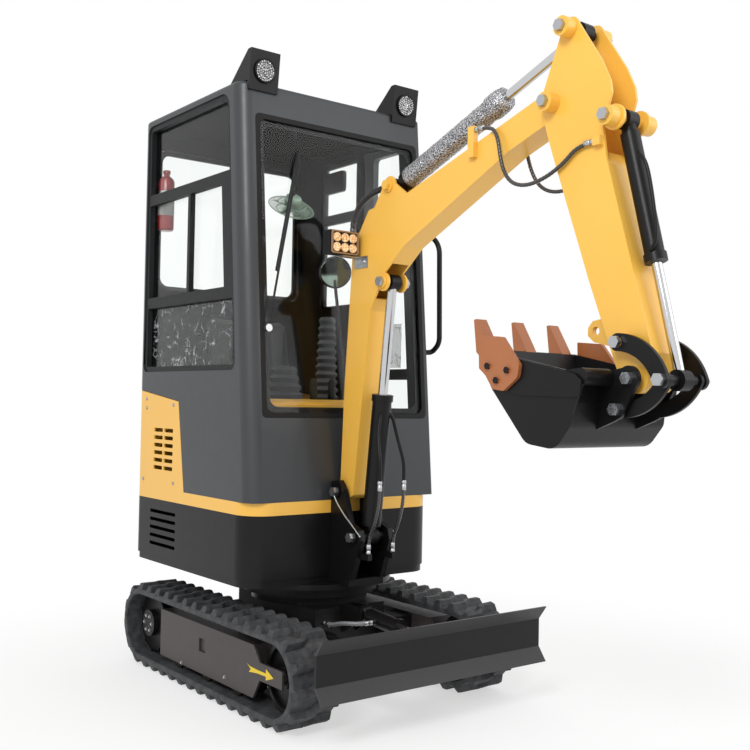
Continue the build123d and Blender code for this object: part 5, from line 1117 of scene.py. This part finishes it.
# Levers: pedestals of folded sheet beside the seat, each with a ribbed rubber boot and a black
# stalk with a ball grip. Two travel levers stand on the deck in front
LEVER_X, LEVER_Y, LEVER_FOOT, LEVER_RISE = SLEW - 0.130, 0.265, 1.000, 0.212
TRAVEL_X, TRAVEL_Y, DECK_TOP, TRAVEL_RISE = SLEW + 0.060, 0.040, 0.673, 0.430
BOOT_FOLDS, BOOT_RISE = 7, 0.085
for hand, sign in (("right", -1), ("left", 1)):
    block(
        f"pedestal_{hand}", (0.118, 0.088, 0.326), (LEVER_X, sign * LEVER_Y, 0.8365), 0.008, "house",
        plastic,
    )
    foot = Vector((LEVER_X, sign * LEVER_Y, LEVER_FOOT))
    profile = [(0, 0.040)]
    for fold in range(BOOT_FOLDS):
        profile.append(((fold + 0.5) / (BOOT_FOLDS + 0.5), 0.040 - 0.0032 * fold))
        profile.append(((fold + 0.9) / (BOOT_FOLDS + 0.5), 0.031 - 0.0030 * fold))
    profile.append((1.0, 0.010))
    turned_piece(f"boot_{hand}", foot, foot + Vector((0, 0, BOOT_RISE)), profile, "house", seal_rubber)
    turned_piece(f"stalk_{hand}", foot + Vector((0, 0, 0.08)), foot + Vector((0, 0, LEVER_RISE)), (
        (0, 0.008), (0.55, 0.008), (0.62, 0.012), (0.75, 0.020), (0.85, 0.022), (0.95, 0.018), (1.0, 0.008),
    ), "house", plastic)
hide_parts("controls")
for hand, sign in (("right", -1), ("left", 1)):
    foot = Vector((TRAVEL_X, sign * TRAVEL_Y, DECK_TOP))
    turned_piece(f"travel_lever_{hand}", foot, foot + Vector((0, 0, TRAVEL_RISE)), (
        (0, 0.009), (0.70, 0.008), (0.71, 0.014), (0.97, 0.013), (1.0, 0.008),
    ), "house", plastic)
    turned_piece(f"travel_boot_{hand}", foot + Vector((0, 0, 0.001)), foot + Vector((0, 0, 0.055)), (
        (0, 0.030), (0.25, 0.028), (0.3, 0.022), (0.5, 0.021), (0.55, 0.017), (0.8, 0.016), (1.0, 0.010),
    ), "house", seal_rubber)

# Bellows in front of the seat: one wide rubber boot with deep pleats, and the tall lever beside it,
# still in its wrapping of clear film over grey foam
PLEAT_DEPTH, POST_RADIUS = 0.72, 0.030
pleated = coat("grey_pleated_rubber", "#4b4d50", "#393b3e", 0.5, peel=0.4)
for name, x, y, low, high, foot_radius, top_radius, folds in (
    ("wide_bellows", -0.130, -0.048, 0.960, 1.152, 0.096, 0.040, 6),
    ("tall_bellows", -0.020, 0.072, 0.960, 1.340, 0.052, 0.032, 13),
):
    profile = [(0, foot_radius * 0.8)]
    for fold in range(folds):
        wide = foot_radius + (top_radius - foot_radius) * fold / folds
        profile.append(((fold + 0.50) / folds, wide))
        profile.append(((fold + 0.98) / folds, wide * PLEAT_DEPTH))
    profile.append((1.0, top_radius * 0.5))
    foot = Vector((SLEW + x, y, low))
    bellows = turned_piece(
        name, foot, foot + Vector((0, 0, high - low)), profile, "house", pleated, sides=32
    )
    bellows.data.shade_flat()
    turned_piece(
        name + "_post", (foot.x, y, DECK_TOP + 0.001), foot, ((0, POST_RADIUS), (1, POST_RADIUS)),
        "house", plastic,
    )

# Grease line at the boom's foot: thin zinc plated pipe, bent by hand from the bracket's side to
# its front
line_route = [Vector((SLEW + x, -0.0885, z)) for x, z in (
    (0.262, 0.716), (0.268, 0.690), (0.330, 0.632), (0.380, 0.600), (0.427, 0.566),
)]
bent_pipe("grease_line", line_route, 0.003, 0.005, "house", zinc, sides=10)

# Console behind the windscreen's foot: a folded yellow sheet that hides the pipes. Its rear top
# edge stands a little higher
CONSOLE_LIFT = 0.014


def lift_rear(co):
    """The console's rear top corners go up."""
    if co.z > 1.0 and co.x < SLEW + 0.12:
        co.z += CONSOLE_LIFT


block(
    "front_console", (0.050, 0.560, 0.340), (SLEW + 0.128, -0.020, 0.843), 0.006, "house", yellow,
    move=lift_rear,
)

# Bucket teeth and side cutters: cast alloy steel under copper coloured paint, held on by bolts
# with black heads
CUTTER_HEADS = 0.004
copper = coat("copper_tooth_paint", "#a9673a", "#93552b", 0.38, gloss=0.15, peel=0.3)
dress("bucket_teeth", copper)
dress("side_cutters", copper, black)
cutter_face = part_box("side_cutters")[1].y - CUTTER_HEADS
part_of("side_cutters", 1, lambda c: abs(c.y) > cutter_face)

# Direction arrows: a plain yellow arrow sprayed through a stencil on each track frame, pointing
# forward
ARROW_FACE, PAINT_DEPTH = 0.4335, 0.0004
arrow = (
    (0.286, 0.166), (0.306, 0.160), (0.352, 0.158), (0.404, 0.158), (0.404, 0.172), (0.450, 0.152),
    (0.404, 0.136), (0.404, 0.148), (0.352, 0.147), (0.300, 0.141), (0.312, 0.152),
)
spray = coat("sprayed_yellow_paint", "#e6c62a", "#d8b71f", 0.5, peel=0.2)
for name, sign in (("arrow_right", -1), ("arrow_left", 1)):
    shape = bmesh.new()
    faces = [
        [shape.verts.new((SLEW + x, sign * (ARROW_FACE + depth), z)) for x, z in arrow]
        for depth in (0, PAINT_DEPTH)
    ]
    for loop in faces:
        shape.faces.new(loop)
    join_loops(shape, *faces)
    place_piece(name, shape_mesh(name, shape), "undercarriage", spray)
